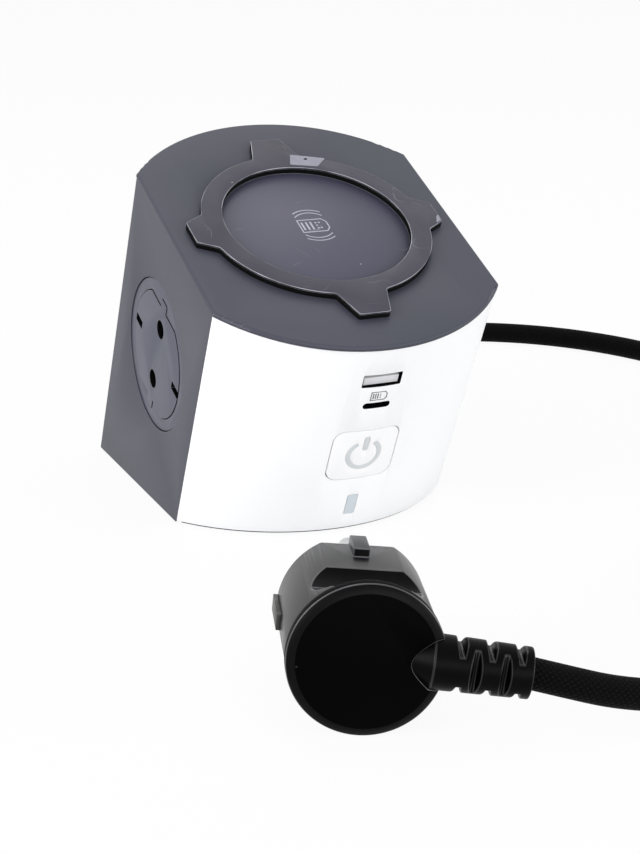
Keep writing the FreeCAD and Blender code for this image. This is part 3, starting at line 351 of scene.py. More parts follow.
def moulded(name, base, deep, grain=2500.0, depth=0.02, cloud=30.0, polish=(0.45, 0.6),
            dust=0.0, dust_colour=(150, 150, 155), hairlines=0.0, **fixed):
    """Moulded plastic or rubber: fine grain, a cloudy tone, and dust or hairlines where asked."""
    material, tree, shader = new_material(name)
    here = object_coordinates(tree)
    skin_of = use_group(tree, GRAIN, {"Coordinates": here, "Grain": grain, "Cloud": cloud})
    tone = mixed(tree, skin_of["Tone"], colour(*base), colour(*deep))
    if dust:
        specks = use_group(tree, DUST, {"Coordinates": here, "Share": dust})
        tone = mixed(tree, specks["Mask"], tone, colour(*dust_colour))
    if hairlines:
        lines = use_group(tree, HAIRLINES, {"Coordinates": here, "Width": hairlines})
        faint = calculate(tree, "MULTIPLY", lines["Mask"], 0.35)
        tone = mixed(tree, faint, tone, colour(*dust_colour))
    rough = spread(tree, skin_of["Polish"], 0.0, 1.0, polish[0], polish[1])
    bump_sockets = {"Strength": 1.0, "Distance": depth * MM, "Height": skin_of["Height"]}
    bump = add(tree, "ShaderNodeBump", bump_sockets)
    dress(tree, shader, tone, rough, bump)
    set_shader(shader, {key.replace("_", " "): value for key, value in fixed.items()})
    return material


def metal(name, base, deep, streak, polish=(0.2, 0.4), depth=0.006):
    """Drawn or plated metal, with streaks along one direction."""
    material, tree, shader = new_material(name)
    stretched = add(tree, "ShaderNodeMapping", {"Vector": object_coordinates(tree), "Scale": streak})
    lines = add(tree, "ShaderNodeTexNoise", {"Vector": stretched.outputs[0], "Scale": 900.0, "Detail": 4.0})
    cloudy = use_group(tree, GRAIN, {"Coordinates": object_coordinates(tree), "Cloud": 180.0})
    rough = spread(tree, lines.outputs["Fac"], 0.3, 0.7, polish[0], polish[1])
    bump = add(tree, "ShaderNodeBump", {"Distance": depth * MM, "Height": lines.outputs["Fac"]})
    dress(tree, shader, mixed(tree, cloudy["Tone"], colour(*base), colour(*deep)), rough, bump)
    set_shader(shader, {"Metallic": 1.0})
    return material


def wound_copper():
    """Flat coil of enamelled wire, wound in rings about the tower's axis."""
    material, tree, shader = new_material("wound_copper")
    wire_pitch = 0.75 * MM
    across = {0: tower_coordinates(tree), 1: (1.0, 1.0, 0.0)}
    flat = add(tree, "ShaderNodeVectorMath", across, operation="MULTIPLY")
    out = add(tree, "ShaderNodeVectorMath", {0: flat.outputs[0]}, operation="LENGTH").outputs["Value"]
    turns = calculate(tree, "MULTIPLY", out, 2 * math.pi / wire_pitch)
    wave = spread(tree, calculate(tree, "SINE", turns), -1.0, 1.0)
    grain = use_group(tree, GRAIN, {"Coordinates": object_coordinates(tree)})
    bump = add(tree, "ShaderNodeBump", {"Distance": 0.2 * MM, "Height": wave})
    # Darker between the turns and lighter on their crests: painted shade and painted highlight on the wire.
    tone = mixed(tree, wave, colour(110, 50, 24), colour(205, 122, 70))
    dress(tree, shader, tone, spread(tree, grain["Polish"], 0.0, 1.0, 0.25, 0.4), bump)
    set_shader(shader, {"Metallic": 1.0})
    return material


def circuit_board_material():
    """Green solder mask over copper tracks."""
    material, tree, shader = new_material("circuit_board_mask")
    here = tower_coordinates(tree)
    brick_sockets = {"Vector": here, "Scale": 110.0, "Mortar Size": 0.035, "Mortar Smooth": 0.3,
                     "Bias": 0.0}
    tracks = add(tree, "ShaderNodeTexBrick", brick_sockets).outputs["Fac"]
    grain = use_group(tree, GRAIN, {"Coordinates": here})
    mask = mixed(tree, tracks, colour(24, 92, 54), colour(58, 138, 84))
    tone = mixed(tree, grain["Tone"], mask, colour(16, 70, 42))
    bump = add(tree, "ShaderNodeBump", {"Distance": 0.03 * MM, "Height": tracks})
    dress(tree, shader, tone, spread(tree, grain["Polish"], 0.0, 1.0, 0.25, 0.4), bump)
    return material


def braided_cover():
    """Black textile braid over the lead, in the lead's own length and round coordinates."""
    material, tree, shader = new_material("braided_cover")
    along_lead = add(tree, "ShaderNodeUVMap", uv_map="along_lead").outputs[0]
    weave = use_group(tree, BRAID, {"Coordinates": along_lead})
    here = object_coordinates(tree)
    grain = use_group(tree, GRAIN, {"Coordinates": here, "Grain": 6000.0, "Cloud": 90.0})
    # The strands' crowns are painted lighter than their hollows: a painted highlight on the braid, and
    # painted shade between the strands.
    crown_highlight = mixed(tree, weave["Crown"], colour(1, 1, 2), colour(12, 12, 13))
    tone = mixed(tree, calculate(tree, "MULTIPLY", grain["Tone"], 0.4), crown_highlight, colour(3, 3, 4))
    uneven = calculate(tree, "ADD", weave["Height"], calculate(tree, "MULTIPLY", grain["Height"], 0.25))
    bump = add(tree, "ShaderNodeBump", {"Distance": 0.32 * MM, "Height": uneven})
    rough = spread(tree, weave["Thread"], 0.0, 1.0, 0.5, 0.75)
    dress(tree, shader, tone, rough, bump)
    set_shader(shader, {"Specular IOR Level": 0.05})
    return material


def clear_film():
    """A scrap of frosted protective film left on the ring."""
    material, tree, shader = new_material("clear_film")
    here = object_coordinates(tree)
    grain = use_group(tree, GRAIN, {"Coordinates": here, "Grain": 900.0, "Cloud": 120.0})
    bump = add(tree, "ShaderNodeBump", {"Distance": 0.05 * MM, "Height": grain["Height"]})
    rough = spread(tree, grain["Polish"], 0.0, 1.0, 0.25, 0.45)
    tone = mixed(tree, grain["Tone"], colour(176, 176, 190), colour(150, 150, 166))
    tree.links.new(spread(tree, grain["Tone"], 0.0, 1.0, 0.55, 0.8), shader.inputs["Alpha"])
    dress(tree, shader, tone, rough, bump)
    return material


# Every finish, under the name of the record's slot that it stands for.
FINISHES = {
    "grey_shell": moulded("shell_plastic", (68, 67, 80), (59, 64, 74), 2600.0, 0.010, 11.0, (0.44, 0.58),
                          dust=0.045, dust_colour=(112, 114, 122), Specular_IOR_Level=0.35),
    "white_cover": moulded("cover_plastic", (246, 246, 247), (242, 243, 245), 1800.0, 0.003, 14.0,
                           (0.32, 0.44)),
    "dark_base": moulded("base_plastic", (44, 45, 50), (36, 37, 42), 2200.0, 0.02),
    "black_rubber": moulded("foot_rubber", (26, 26, 27), (18, 18, 19), 1500.0, 0.04, polish=(0.75, 0.9)),
    "screw_steel": metal("screw_steel_plate", (170, 172, 176), (128, 130, 134), (1.0, 1.0, 1.0)),
    "ring_black": moulded("ring_rubber", (9, 9, 10), (5, 5, 6), 1800.0, 0.02, polish=(0.6, 0.8),
                          Specular_IOR_Level=0.1),
    "ring_grey": moulded("ring_cap_rubber", (64, 62, 74), (57, 56, 67), 3200.0, 0.008, 45.0, (0.42, 0.6),
                         dust=0.09, dust_colour=(130, 130, 140), hairlines=0.003, Specular_IOR_Level=0.35),
    "pad_dark": moulded("pad_plastic", (70, 69, 87), (61, 63, 81), 3000.0, 0.006, 16.0, (0.38, 0.5),
                        dust=0.05, dust_colour=(150, 150, 160), hairlines=0.003, Specular_IOR_Level=0.4),
    "inner_plastic": moulded("inner_black_plastic", (40, 40, 42), (30, 30, 32)),
    "ferrite": moulded("ferrite_tile", (72, 70, 70), (54, 53, 54), 1200.0, 0.04, 60.0, (0.5, 0.8)),
    "copper_wire": wound_copper(),
    "circuit_board": circuit_board_material(),
    "contact_brass": metal("contact_brass_strip", (206, 172, 96), (176, 140, 70), (1.0, 12.0, 1.0)),
    # The port shells' steel is made near black: painted shade inside the openings.
    "port_steel": metal("port_steel_painted_shade", (20, 20, 21), (12, 12, 13), (1.0, 1.0, 14.0), (0.4, 0.55)),
    "port_white": moulded("tongue_white_plastic", (232, 232, 234), (214, 214, 218)),
    "port_black": moulded("tongue_black_plastic", (4, 4, 5), (2, 2, 3), Specular_IOR_Level=0.05),
    "white_button": moulded("button_plastic", (247, 247, 248), (243, 243, 245), 1800.0, 0.003, 20.0,
                            (0.32, 0.42)),
    "symbol_grey": moulded("symbol_plastic", (207, 211, 214), (198, 203, 207), 2000.0, 0.01),
    "spring_steel": metal("spring_steel_wire", (150, 152, 156), (112, 114, 118), (1.0, 6.0, 1.0)),
    "lens_pale": moulded("lens_plastic", (206, 213, 218), (196, 205, 212), 1400.0, 0.01, 60.0, (0.2, 0.35)),
    "led_white": moulded("led_phosphor", (240, 232, 150), (226, 214, 120)),
    "transformer_tape": moulded("winding_tape", (214, 184, 60), (190, 158, 44), 700.0, 0.05),
    "capacitor_sleeve": moulded("capacitor_shrink_sleeve", (32, 44, 84), (24, 34, 66)),
    "gland_black": moulded("gland_rubber", (9, 9, 10), (5, 5, 6), 2200.0, 0.02, polish=(0.5, 0.7),
                           Specular_IOR_Level=0.1),
    "braid_black": braided_cover(),
    "wire_insulation": moulded("wire_sheath", (58, 74, 148), (46, 60, 124)),
    "plug_black": moulded("plug_plastic", (12, 12, 15), (8, 8, 10), 2300.0, 0.012, 26.0, (0.28, 0.4),
                          dust=0.04, dust_colour=(60, 62, 64), Specular_IOR_Level=0.6),
    "relief_black": moulded("relief_rubber", (3, 3, 3), (1, 1, 1), 2000.0, 0.02, 40.0, (0.3, 0.42),
                            Specular_IOR_Level=0.05),
    "pin_nickel": metal("pin_nickel_plate", (214, 216, 216), (180, 184, 182), (1.0, 10.0, 1.0), (0.15, 0.3)),
    # The earth strips' steel is made darker than bare steel: painted shade.
    "earth_steel": metal("earth_strip_steel_painted_shade", (84, 84, 82), (58, 58, 57), (1.0, 10.0, 1.0), (0.35, 0.5)),
    "socket_grey": moulded("socket_plastic", (84, 83, 98), (76, 79, 92), 2600.0, 0.010, 24.0, (0.42, 0.56),
                           Specular_IOR_Level=0.4),
    "housing_dark": moulded("housing_plastic", (5, 5, 6), (3, 3, 4), Specular_IOR_Level=0.05),
    "icon_print": moulded("printed_mark", (176, 176, 188), (150, 150, 164), 2600.0, 0.01),
    "film_clear": clear_film(),
}
# The finish of a piece's rounded edges, where it differs from its faces: on most pieces a lighter colour, a
# painted highlight along the edge; on the white cover only a smoother polish.
EDGE_POLISH_AND_HIGHLIGHTS = {
    "grey_shell": moulded("shell_edge_painted_highlight", (92, 92, 102), (80, 84, 92), 2600.0, 0.006, 60.0, (0.34, 0.46)),
    "white_cover": moulded("cover_edge", (246, 246, 247), (242, 242, 244), 1800.0, 0.003, 40.0,
                           (0.25, 0.35)),
    "ring_grey": moulded("ring_cap_edge_painted_highlight", (190, 189, 200), (84, 83, 92), 900.0, 0.02, 120.0, (0.3, 0.45)),
    "pad_dark": moulded("pad_edge_painted_highlight", (112, 112, 126), (86, 86, 98), 900.0, 0.01, 120.0, (0.3, 0.42)),
    "plug_black": moulded("plug_edge_painted_highlight", (84, 84, 88), (40, 41, 43), 2300.0, 0.01, 60.0, (0.26, 0.38)),
    "relief_black": moulded("relief_edge_painted_highlight", (22, 22, 24), (12, 12, 14), 2000.0, 0.01, 60.0, (0.3, 0.42),
                            Specular_IOR_Level=0.3),
    "socket_grey": moulded("socket_edge_painted_highlight", (98, 98, 110), (84, 86, 94), 2600.0, 0.006, 60.0, (0.32, 0.44)),
}
# Darker copies of the plug plastic for the cap: the face is also rougher and the sloping rim carries dust
# specks, while the darker colour is painted shade.
CAP_FACE_SHADE = moulded("cap_face_matte_painted_shade", (3, 3, 3), (1, 1, 1), 2300.0, 0.02, 26.0, (0.45, 0.6),
                   dust=0.05, dust_colour=(40, 41, 42), Specular_IOR_Level=0.02)
CAP_RIM_SHADE = moulded("cap_rim_dust_painted_shade", (5, 5, 6), (2, 2, 3), 2300.0, 0.03, 40.0, (0.3, 0.45),
                  dust=0.2, dust_colour=(60, 60, 62), Specular_IOR_Level=0.08)
# A darker copy of the plug plastic for the faces in the finger scoops and at the guide's end: painted shade.
SCOOP_SHADE = moulded("scoop_painted_shade", (7, 8, 8), (2, 2, 3), 2300.0, 0.02, 60.0, (0.35, 0.5),
                     Specular_IOR_Level=0.05)
SEAM_WALL = moulded("seam_shadow_plastic", (5, 5, 6), (3, 3, 4), 2200.0, 0.01, polish=(0.6, 0.8),
                    Specular_IOR_Level=0.05)
FRONT_PRINT = moulded("front_print", (96, 96, 100), (74, 74, 78), 2600.0, 0.01)
# Near-black finish for the white cover's walls inside the charging ports: painted shade in the openings.
PORT_SHADE = moulded("port_wall_painted_shade", (5, 5, 6), (2, 2, 3), 2200.0, 0.01, polish=(0.5, 0.7),
                    Specular_IOR_Level=0.05)

for node_object in frame["nodes"].values():
    for holder in node_object.material_slots:
        holder.material = FINISHES[holder.material.name.split(".")[0]]


# ---- moulded pieces with rounded edges ------------------------------------------------------

EDGE_SEGMENTS = 2
SHARP_TURN = math.radians(32.0)   # edges that turn by more than this are rounded


def round_edges(node, width, face=None, other=None, other_faces=None):
    """A copy of a CAD piece whose sharp edges are rounded as its mould would round them.
    face is another finish for its faces. other is one for the faces that pass the test other_faces."""
    source = frame["nodes"][node]
    slot_name = next(name for name in FINISHES if FINISHES[name] == source.data.materials[0])
    piece = bpy.data.objects.new(node + "_moulding", source.data.copy())
    bpy.context.scene.collection.objects.link(piece)
    # The rounded edges take the second finish, on most pieces a painted highlight lighter than the faces.
    piece.data.materials.append(EDGE_POLISH_AND_HIGHLIGHTS.get(slot_name, FINISHES[slot_name]))
    if face:
        piece.data.materials[0] = face
    take_up(piece)
    bpy.ops.mesh.customdata_custom_splitnormals_clear()
    bpy.ops.object.mode_set(mode="EDIT")
    bpy.ops.mesh.select_all(action="SELECT")
    bpy.ops.mesh.remove_doubles(threshold=0.002 * MM)
    bpy.ops.mesh.dissolve_limited(angle_limit=math.radians(0.3))
    bpy.ops.object.mode_set(mode="OBJECT")
    apply_modifier(piece, "rounding", "BEVEL", width=width * MM, segments=EDGE_SEGMENTS,
                   limit_method="ANGLE", angle_limit=SHARP_TURN, material=1, use_clamp_overlap=False)
    bpy.ops.object.shade_smooth_by_angle(angle=SHARP_TURN)
    if other:
        piece.data.materials.append(other)
        for polygon in piece.data.polygons:
            if other_faces(polygon):
                polygon.material_index = 2
    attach(piece, source["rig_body"])
    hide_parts(node)
    return piece


# How far a face looks along an axis, as the cosine of the angle between them.
WALL = 0.4
PORT_FRONT = 0.75
UPRIGHT = 0.06
CAP_FLAT = 0.95
BODY_FLAT = 0.9


def lies_along(axis):
    """A test for flat faces that lie along an axis, as the walls round it do."""
    def test(polygon):
        return polygon.material_index == 0 and abs(polygon.normal.dot(axis)) < WALL
    return test


def in_a_port(polygon):
    """Whether a face of the front cover lines one of its two charging ports."""
    spot = FROM_TOWER @ polygon.center
    beside = any(low.x < spot.x < high.x and low.z < spot.z < high.z for low, high in PORT_BOXES)
    return beside and not polygon.normal.dot(TOWER_FRONT) > PORT_FRONT


def on_the_cap_rim(polygon):
    """Whether a face of the plug's cap slopes down to its side."""
    return polygon.material_index == 0 and UPRIGHT < abs(polygon.normal.dot(PLUG_AXIS)) < CAP_FLAT


def in_a_scoop(polygon):
    """Whether a face of the plug's body lines a finger scoop, or looks to the cap like the guide's end."""
    turned = polygon.normal.dot(PLUG_AXIS)
    return polygon.material_index == 0 and (turned < -UPRIGHT or UPRIGHT < turned < BODY_FLAT)


TOWER_FRONT = TOWER.to_3x3() @ Vector((0, -1, 0))
PORT_BOXES = [tower_box(shroud) for shroud in ("usb_a_shell", "usb_c_shell")]
cap_middle = sum((Vector(corner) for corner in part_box("plug_cap")), Vector()) / 2
pin_middle = sum((Vector(corner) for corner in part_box("plug_pins")), Vector()) / 2
PLUG_AXIS = (pin_middle - cap_middle).normalized()
# The width of each piece's rounded edges, in millimetres.
ROUNDED = {
    "outer_shell": 0.12,
    "front_cover": 0.2,
    "rear_cover": 0.2,
    "base_plate": 0.2,
    "rubber_feet": 0.25,
    "grip_ring": 0.15,
    "ring_cap": 0.15,
    "charging_pad": 0.2,
    "power_button": 0.15,
    "power_symbol": 0.03,
    "status_lens": 0.12,
    "usb_a_shell": 0.06,
    "usb_a_tongue": 0.1,
    "usb_c_shell": 0.06,
    "usb_c_tongue": 0.06,
    "plug_cap": 0.25,
    "plug_body": 0.3,
    "plug_pins": 0.2,
    "plug_earth_strips": 0.2,
    "plug_strain_relief": 0.3,
    "cord_gland": 0.25,
}
SPECIAL = {
    "plug_cap": {"face": CAP_FACE_SHADE, "other": CAP_RIM_SHADE, "other_faces": on_the_cap_rim},
    "plug_body": {"other": SCOOP_SHADE, "other_faces": in_a_scoop},
    # The walls of the cover's ports get the painted shade.
    "front_cover": {"other": PORT_SHADE, "other_faces": in_a_port},
    "ring_cap": {"other": FINISHES["ring_black"],
                 "other_faces": lies_along(TOWER.to_3x3() @ Vector((0, 0, 1)))},
}
for side in ("left", "right"):
    for part_name in ("_socket_bezel", "_socket_face"):
        ROUNDED[side + part_name] = 0.12
        SPECIAL[side + part_name] = {"other": SEAM_WALL, "other_faces": lies_along(Vector((1, 0, 0)))}
mouldings = {node: round_edges(node, width, **SPECIAL.get(node, {})) for node, width in ROUNDED.items()}


# ---- springs carried with the piece they hold -------------------------------------------------

def sprung(node, joint_name):
    """A copy of a spring in place of its CAD piece, carried by its body; it keeps its shape and does not
    shorten as the joint travels.
    """
    source = frame["nodes"][node]
    axis = Vector(joints[joint_name]["axis"])
    piece = bpy.data.objects.new(node + "_wire", source.data.copy())
    bpy.context.scene.collection.objects.link(piece)
    reach = [vertex.co.dot(axis) for vertex in source.data.vertices]
    seat = max(range(len(reach)), key=reach.__getitem__)
    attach(piece, source["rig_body"])
    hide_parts(node)
    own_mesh(piece)


sprung("left_face_spring", "left_face_slide")
sprung("right_face_spring", "right_face_slide")
sprung("button_spring", "button_press")


# ---- braided lead ---------------------------------------------------------------------------------

# The route's points and the coil's sizes are in millimetres.
LEAD_DIAMETER = 7.8
GLAND_TIP = (44.10, 88.21, 11.5)
RELIEF_TIP = (-13.17, -176.72, 14.53)
route_to_coil = [
    (54.2, 105.4, 10.9), (67.5, 117.6, 8.4), (84.5, 125.6, 5.4), (105.0, 128.0, 3.95),
    (131.0, 122.6, 3.95), (157.5, 107.0, 3.95), (178.0, 83.5, 3.95), (191.0, 54.0, 3.95),
    (196.0, 21.0, 3.95), (192.5, -12.0, 3.95), (183.0, -44.0, 3.95), (170.5, -74.0, 3.95),
    (159.5, -102.0, 4.8), (151.8, -127.5, 8.3), (148.6, -146.5, 11.0),
]
route_to_plug = [
    (79.0, -206.2, 3.95), (60.0, -197.0, 3.95), (43.5, -190.0, 3.95), (28.0, -185.7, 4.6),
    (15.4, -184.1, 6.5), (4.8, -183.1, 9.2), (-4.6, -180.6, 12.2),
]
COIL_CENTRE = (101.0, -164.0)
OUTER_TURN = 46.95
INNER_TURN = 39.05
LOW_TURN = 3.95
HIGH_TURN = 11.85
COIL_TURNS = 3.25
POINTS_PER_TURN = 16


def eased(value, start, end):
    """0 before start, 1 after end, and smooth between them."""
    share = min(max((value - start) / (end - start), 0.0), 1.0)
    return share * share * (3 - 2 * share)


def coil_points():
    """Turns of the coil, clockwise from above, from its right: out and high, in, down, and out below."""
    points = []
    steps = round(COIL_TURNS * POINTS_PER_TURN)
    widen = 1 / math.cos(math.pi / POINTS_PER_TURN)
    for step in range(steps + 1):
        turns = step / POINTS_PER_TURN
        inward = eased(turns, 0.74, 0.94) - eased(turns, 2.25, 2.5)
        radius = (OUTER_TURN + (INNER_TURN - OUTER_TURN) * inward) * widen
        height = HIGH_TURN + (LOW_TURN - HIGH_TURN) * eased(turns, 1.5, 1.74)
        angle = -2 * math.pi * turns
        x = COIL_CENTRE[0] + radius * math.cos(angle)
        y = COIL_CENTRE[1] + radius * math.sin(angle)
        points.append((x, y, height))
    return points


def lead_line():
    """The lead's centreline, read from one smooth spline through its route."""
    points = [GLAND_TIP, *route_to_coil, *coil_points(), *route_to_plug, RELIEF_TIP]
    curve = bpy.data.curves.new("lead_line", "CURVE")
    curve.dimensions = "3D"
    spline = curve.splines.new("NURBS")
    spline.points.add(len(points) - 1)
    for control, point in zip(spline.points, points):
        control.co = (point[0] * MM, point[1] * MM, point[2] * MM, 1.0)
    spline.order_u = 3
    spline.use_endpoint_u = True
    spline.resolution_u = 5
    holder = bpy.data.objects.new("lead_line", curve)
    bpy.context.scene.collection.objects.link(holder)
    graph = bpy.context.evaluated_depsgraph_get()
    mesh = bpy.data.meshes.new_from_object(holder.evaluated_get(graph))
    line = [vertex.co.copy() for vertex in mesh.vertices]
    bpy.data.objects.remove(holder)
    bpy.data.meshes.remove(mesh)
    return line


def lead_tube(line, radius, sides=24):
    """A round tube along a line, with coordinates round and along it for its braid."""
    count = len(line)
    ahead = [(line[min(i + 1, count - 1)] - line[max(i - 1, 0)]).normalized() for i in range(count)]
    side = ahead[0].cross(Vector((0, 0, 1))).normalized()
    rings = []
    travelled = [0.0]
    for i in range(count):
        if i:
            side = ahead[i - 1].rotation_difference(ahead[i]) @ side
            travelled.append(travelled[-1] + (line[i] - line[i - 1]).length)
        up = ahead[i].cross(side).normalized()
        for k in range(sides):
            turn = 2 * math.pi * k / sides
            rings.append(line[i] + (side * math.cos(turn) + up * math.sin(turn)) * radius)
    faces = []
    marks = []
    round_length = 2 * math.pi * radius
    for i in range(count - 1):
        for k in range(sides):
            after = (k + 1) % sides
            faces.append((i * sides + k, i * sides + after, (i + 1) * sides + after, (i + 1) * sides + k))
            here = travelled[i] / round_length
            there = travelled[i + 1] / round_length
            begin = k / sides
            end = (k + 1) / sides
            marks.extend([(begin, here), (end, here), (end, there), (begin, there)])
    faces.append(tuple(reversed(range(sides))))
    faces.append(tuple((count - 1) * sides + k for k in range(sides)))
    marks.extend([(0.0, 0.0)] * sides * 2)
    mesh = bpy.data.meshes.new("mains_lead")
    mesh.from_pydata(rings, [], faces)
    layer = mesh.uv_layers.new(name="along_lead")
    for loop, mark in zip(layer.data, marks):
        loop.uv = mark
    tube = bpy.data.objects.new("mains_lead", mesh)
    bpy.context.scene.collection.objects.link(tube)
    take_up(tube)
    bpy.ops.object.mode_set(mode="EDIT")
    bpy.ops.mesh.select_all(action="SELECT")
    bpy.ops.mesh.normals_make_consistent(inside=False)
    bpy.ops.object.mode_set(mode="OBJECT")
    bpy.ops.object.shade_smooth_by_angle(angle=math.radians(50))
    return tube, travelled[-1]


line = lead_line()
lead, lead_length = lead_tube(line, LEAD_DIAMETER / 2 * MM)
lead.data.materials.append(FINISHES["braid_black"])
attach(lead, "tower")
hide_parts("cord_rear_run", "cord_coil", "cord_plug_run")


# ---- printed marks and scraps of film -------------------------------------------------------------

def flat_bar(x, y, width, height):
    """A thin flat bar in the drawing plane, with its corners cut a little."""
    put_down()
    bpy.ops.mesh.primitive_plane_add(size=1, location=(x * MM, y * MM, 0))
    bar = bpy.context.object
    bar.scale = (width * MM, height * MM, 1)
    bpy.ops.object.transform_apply(location=True, rotation=True, scale=True)
    bpy.ops.object.mode_set(mode="EDIT")
    bpy.ops.mesh.select_all(action="SELECT")
    bpy.ops.mesh.bevel(offset=min(width, height) * 0.2 * MM, segments=2, affect="VERTICES")
    bpy.ops.object.mode_set(mode="OBJECT")
    return bar


def battery_outline(x, y, width, height, stroke, nose):
    """An upright battery's outline lying on its side, its nose at the right."""
    put_down()
    bpy.ops.mesh.primitive_plane_add(size=1, location=(x * MM, y * MM, 0))
    outline = bpy.context.object
    outline.scale = (width * MM, height * MM, 1)
    bpy.ops.object.transform_apply(location=True, rotation=True, scale=True)
    right = (x + width / 2 - 0.01) * MM
    bpy.ops.object.mode_set(mode="EDIT")
    bpy.ops.mesh.select_mode(type="EDGE")
    bpy.ops.mesh.select_all(action="DESELECT")
    mesh = bmesh.from_edit_mesh(outline.data)
    for edge in mesh.edges:
        edge.select_set(all(vertex.co.x > right for vertex in edge.verts))
    bmesh.update_edit_mesh(outline.data)
    bpy.ops.mesh.extrude_region_move(TRANSFORM_OT_translate={"value": (nose * MM, 0, 0)})
    bpy.ops.transform.resize(value=(1, 0.5, 1), center_override=(x * MM, y * MM, 0))
    bpy.ops.mesh.select_mode(type="FACE")
    bpy.ops.mesh.select_all(action="SELECT")
    bpy.ops.mesh.dissolve_faces()
    bpy.ops.mesh.select_all(action="SELECT")
    bpy.ops.mesh.inset(thickness=stroke * MM, use_boundary=True)
    bpy.ops.mesh.delete(type="FACE")
    bpy.ops.object.mode_set(mode="OBJECT")
    return outline


def wave_arc(x, y, radius, stroke, middle, half_turn):
    """One arc of the waves round the battery."""
    put_down()
    inner = (radius - stroke / 2) * MM
    spot = (x * MM, y * MM, 0)
    bpy.ops.mesh.primitive_circle_add(vertices=120, radius=inner, fill_type="NOTHING", location=spot)
    arc = bpy.context.object
    bpy.ops.object.transform_apply(location=True, rotation=True, scale=True)
    bpy.ops.object.mode_set(mode="EDIT")
    bpy.ops.mesh.select_mode(type="VERT")
    bpy.ops.mesh.select_all(action="SELECT")
    bpy.ops.mesh.extrude_region_move()
    grow = (radius + stroke / 2) / (radius - stroke / 2)
    bpy.ops.transform.resize(value=(grow, grow, 1), center_override=spot)

    def outside(point):
        turn = math.atan2(point.y - y * MM, point.x - x * MM) - math.radians(middle)
        return abs(math.remainder(turn, 2 * math.pi)) > math.radians(half_turn)

    select_faces(arc, outside)
    bpy.ops.mesh.delete(type="FACE")
    bpy.ops.object.mode_set(mode="OBJECT")
    return arc


def finish_print(pieces, name, thickness, matrix, slot_name):
    """Joins flat marks, gives them the thickness of print, and lays them on their surface."""
    mark = join(pieces, name)
    bpy.ops.object.mode_set(mode="EDIT")
    bpy.ops.mesh.select_all(action="SELECT")
    bpy.ops.mesh.remove_doubles(threshold=0.001 * MM)
    bpy.ops.mesh.normals_make_consistent(inside=False)
    bpy.ops.object.mode_set(mode="OBJECT")
    apply_modifier(mark, "print_thickness", "SOLIDIFY", thickness=thickness * MM, offset=0.0)
    place(mark, matrix)
    mark.data.materials.clear()
    mark.data.materials.append(FINISHES[slot_name])
    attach(mark, "tower")
    return mark


def charging_mark():
    """The charging sign printed on the pad: a battery between two pairs of waves."""
    pieces = [battery_outline(-1.2, 0.0, 8.0, 6.4, 0.38, 1.3)]
    for x in (-4.0, -2.6, -1.2):
        pieces.append(flat_bar(x, 0.0, 0.6, 3.8))
    for y in (-1.3, 0.0, 1.3):
        pieces.append(flat_bar(0.4, y, 0.6, 0.6))
    for y in (-1.3, 1.3):
        pieces.append(flat_bar(1.5, y, 0.6, 0.6))
    for radius, half_turn in ((7.6, 36.0), (6.2, 44.0)):
        for middle in (90.0, -90.0):
            pieces.append(wave_arc(-0.6, 0.2, radius, 0.36, middle, half_turn))
    spot = Vector((0.3, 1.0, 1000 * tower_box("charging_pad")[1].z)) * MM
    return finish_print(pieces, "charging_mark", 0.03, TOWER @ Matrix.Translation(spot), "icon_print")


def battery_mark():
    """The small battery sign between the two charging ports."""
    pieces = [battery_outline(-0.3, -0.45, 4.4, 3.1, 0.2, 0.7)]
    for x in (-1.7, -1.0, -0.3):
        pieces.append(flat_bar(x, -0.45, 0.3, 1.9))
    for y in (-1.05, -0.45, 0.15):
        pieces.append(flat_bar(0.5, y, 0.3, 0.3))
    front = -tower_box("front_cover")[0].y
    between = (tower_box("usb_a_shell")[0].z + tower_box("usb_c_shell")[1].z) / 2
    turned = Matrix.Translation((0, -front, between)) @ Matrix.Rotation(math.pi / 2, 4, "X")
    mark = finish_print(pieces, "battery_mark", 0.12, TOWER @ turned, "port_black")
    mark.data.materials[0] = FRONT_PRINT
    return mark


def torn_film(name, corners):
    """A small four-cornered scrap of film on the ring."""
    put_down()
    bpy.ops.mesh.primitive_plane_add(size=2 * MM)
    scrap = bpy.context.object
    for vertex, corner in zip(scrap.data.vertices, corners):
        vertex.co = (corner[0] * MM, corner[1] * MM, 0)
    bpy.ops.object.mode_set(mode="EDIT")
    bpy.ops.mesh.select_all(action="SELECT")
    bpy.ops.mesh.bevel(offset=0.35 * MM, segments=2, affect="VERTICES")
    bpy.ops.object.mode_set(mode="OBJECT")
    lift = Matrix.Translation((0, 0, tower_box("ring_cap")[1].z + 0.04 * MM))
    return finish_print([scrap], name, 0.06, TOWER @ lift, "film_clear")


def film_speck():
    """A dark crumb caught on the scrap of film."""
    lift = Matrix.Translation((0, 0, tower_box("ring_cap")[1].z + 0.1 * MM))
    crumb = [flat_bar(8.9, 32.0, 0.9, 0.5), flat_bar(9.2, 32.1, 0.4, 0.9)]
    return finish_print(crumb, "film_speck", 0.12, TOWER @ lift, "ring_black")


charging_mark()
battery_mark()
torn_film("film_scrap", [(3.0, 29.8), (11.5, 27.8), (5.0, 35.0), (15.5, 31.8)])
torn_film("film_flake", [(37.2, -5.6), (39.1, -4.6), (38.4, -2.6), (39.4, -1.6)])
film_speck()

# ---- floor, world and lamps -------------------------------------------------------------------------

def seen_by(tree):
    """1 for what the camera, a reflection or a clear piece sees, and 0 for the light on the object."""
    path = add(tree, "ShaderNodeLightPath").outputs
    direct = calculate(tree, "MAXIMUM", path["Is Camera Ray"], path["Is Glossy Ray"])
    return calculate(tree, "MAXIMUM", direct, path["Is Transmission Ray"])


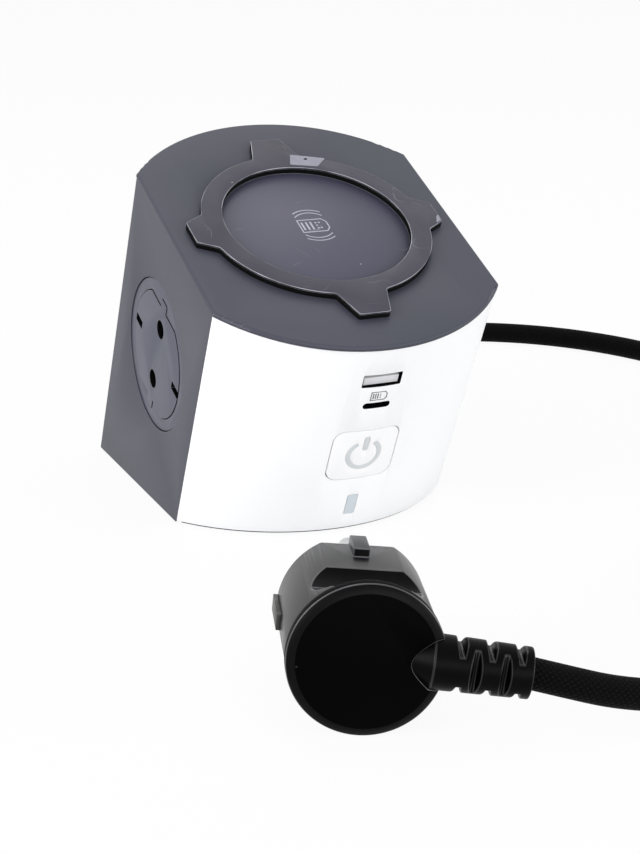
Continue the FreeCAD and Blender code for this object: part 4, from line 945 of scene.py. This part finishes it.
def studio_floor():
    """A plain pale floor that looks white and keeps the tower's shadow."""
    put_down()
    bpy.ops.mesh.primitive_plane_add(size=8.0)
    floor = bpy.context.object
    floor.name = "studio_floor"
    material = bpy.data.materials.new("studio_floor")
    material.use_nodes = True
    tree = material.node_tree
    tree.nodes.clear()
    lit = add(tree, "ShaderNodeBsdfDiffuse", {"Color": (0.92, 0.92, 0.92, 1.0)})
    white = add(tree, "ShaderNodeEmission", {"Color": (1.0, 1.0, 1.0, 1.0), "Strength": 1.0})
    share = calculate(tree, "MULTIPLY", seen_by(tree), 0.93)
    both = add(tree, "ShaderNodeMixShader", {0: share, 1: lit.outputs[0], 2: white.outputs[0]})
    add(tree, "ShaderNodeOutputMaterial", {"Surface": both.outputs[0]})
    floor.data.materials.append(material)


def studio_world():
    """A white backdrop, with a softer fill on the object."""
    world = bpy.data.worlds.new("studio")
    world.use_nodes = True
    tree = world.node_tree
    tree.nodes.clear()
    fill = add(tree, "ShaderNodeBackground", {"Color": (1.0, 1.0, 1.0, 1.0), "Strength": 0.5})
    white = add(tree, "ShaderNodeBackground", {"Color": (1.0, 1.0, 1.0, 1.0), "Strength": 1.0})
    both = add(tree, "ShaderNodeMixShader", {0: seen_by(tree), 1: fill.outputs[0], 2: white.outputs[0]})
    add(tree, "ShaderNodeOutputWorld", {"Surface": both.outputs[0]})
    bpy.context.scene.world = world


def softbox(name, spot, aim, size, power):
    """A rectangular lamp that looks at one spot."""
    lamp = bpy.data.lights.new(name, "AREA")
    lamp.shape = "RECTANGLE"
    lamp.size = size[0]
    lamp.size_y = size[1]
    lamp.energy = power
    holder = bpy.data.objects.new(name, lamp)
    holder.location = spot
    direction = Vector(aim) - Vector(spot)
    holder.rotation_euler = direction.to_track_quat("-Z", "Y").to_euler()
    bpy.context.scene.collection.objects.link(holder)


studio_floor()
studio_world()
softbox("left_softbox", (-1.15, -0.2, 0.55), (0, 0, 0.06), (0.7, 0.7), 8.6)
softbox("front_softbox", (-0.1, -1.25, 0.35), (0, 0, 0.05), (1.1, 0.5), 4.6)
softbox("right_softbox", (1.0, -0.85, 0.35), (0, 0, 0.05), (0.8, 0.6), 6.0)
softbox("top_softbox", (0.1, 0.5, 1.1), (0, 0, 0.05), (0.8, 0.8), 2.5)

bpy.context.scene.view_settings.view_transform = "Standard"
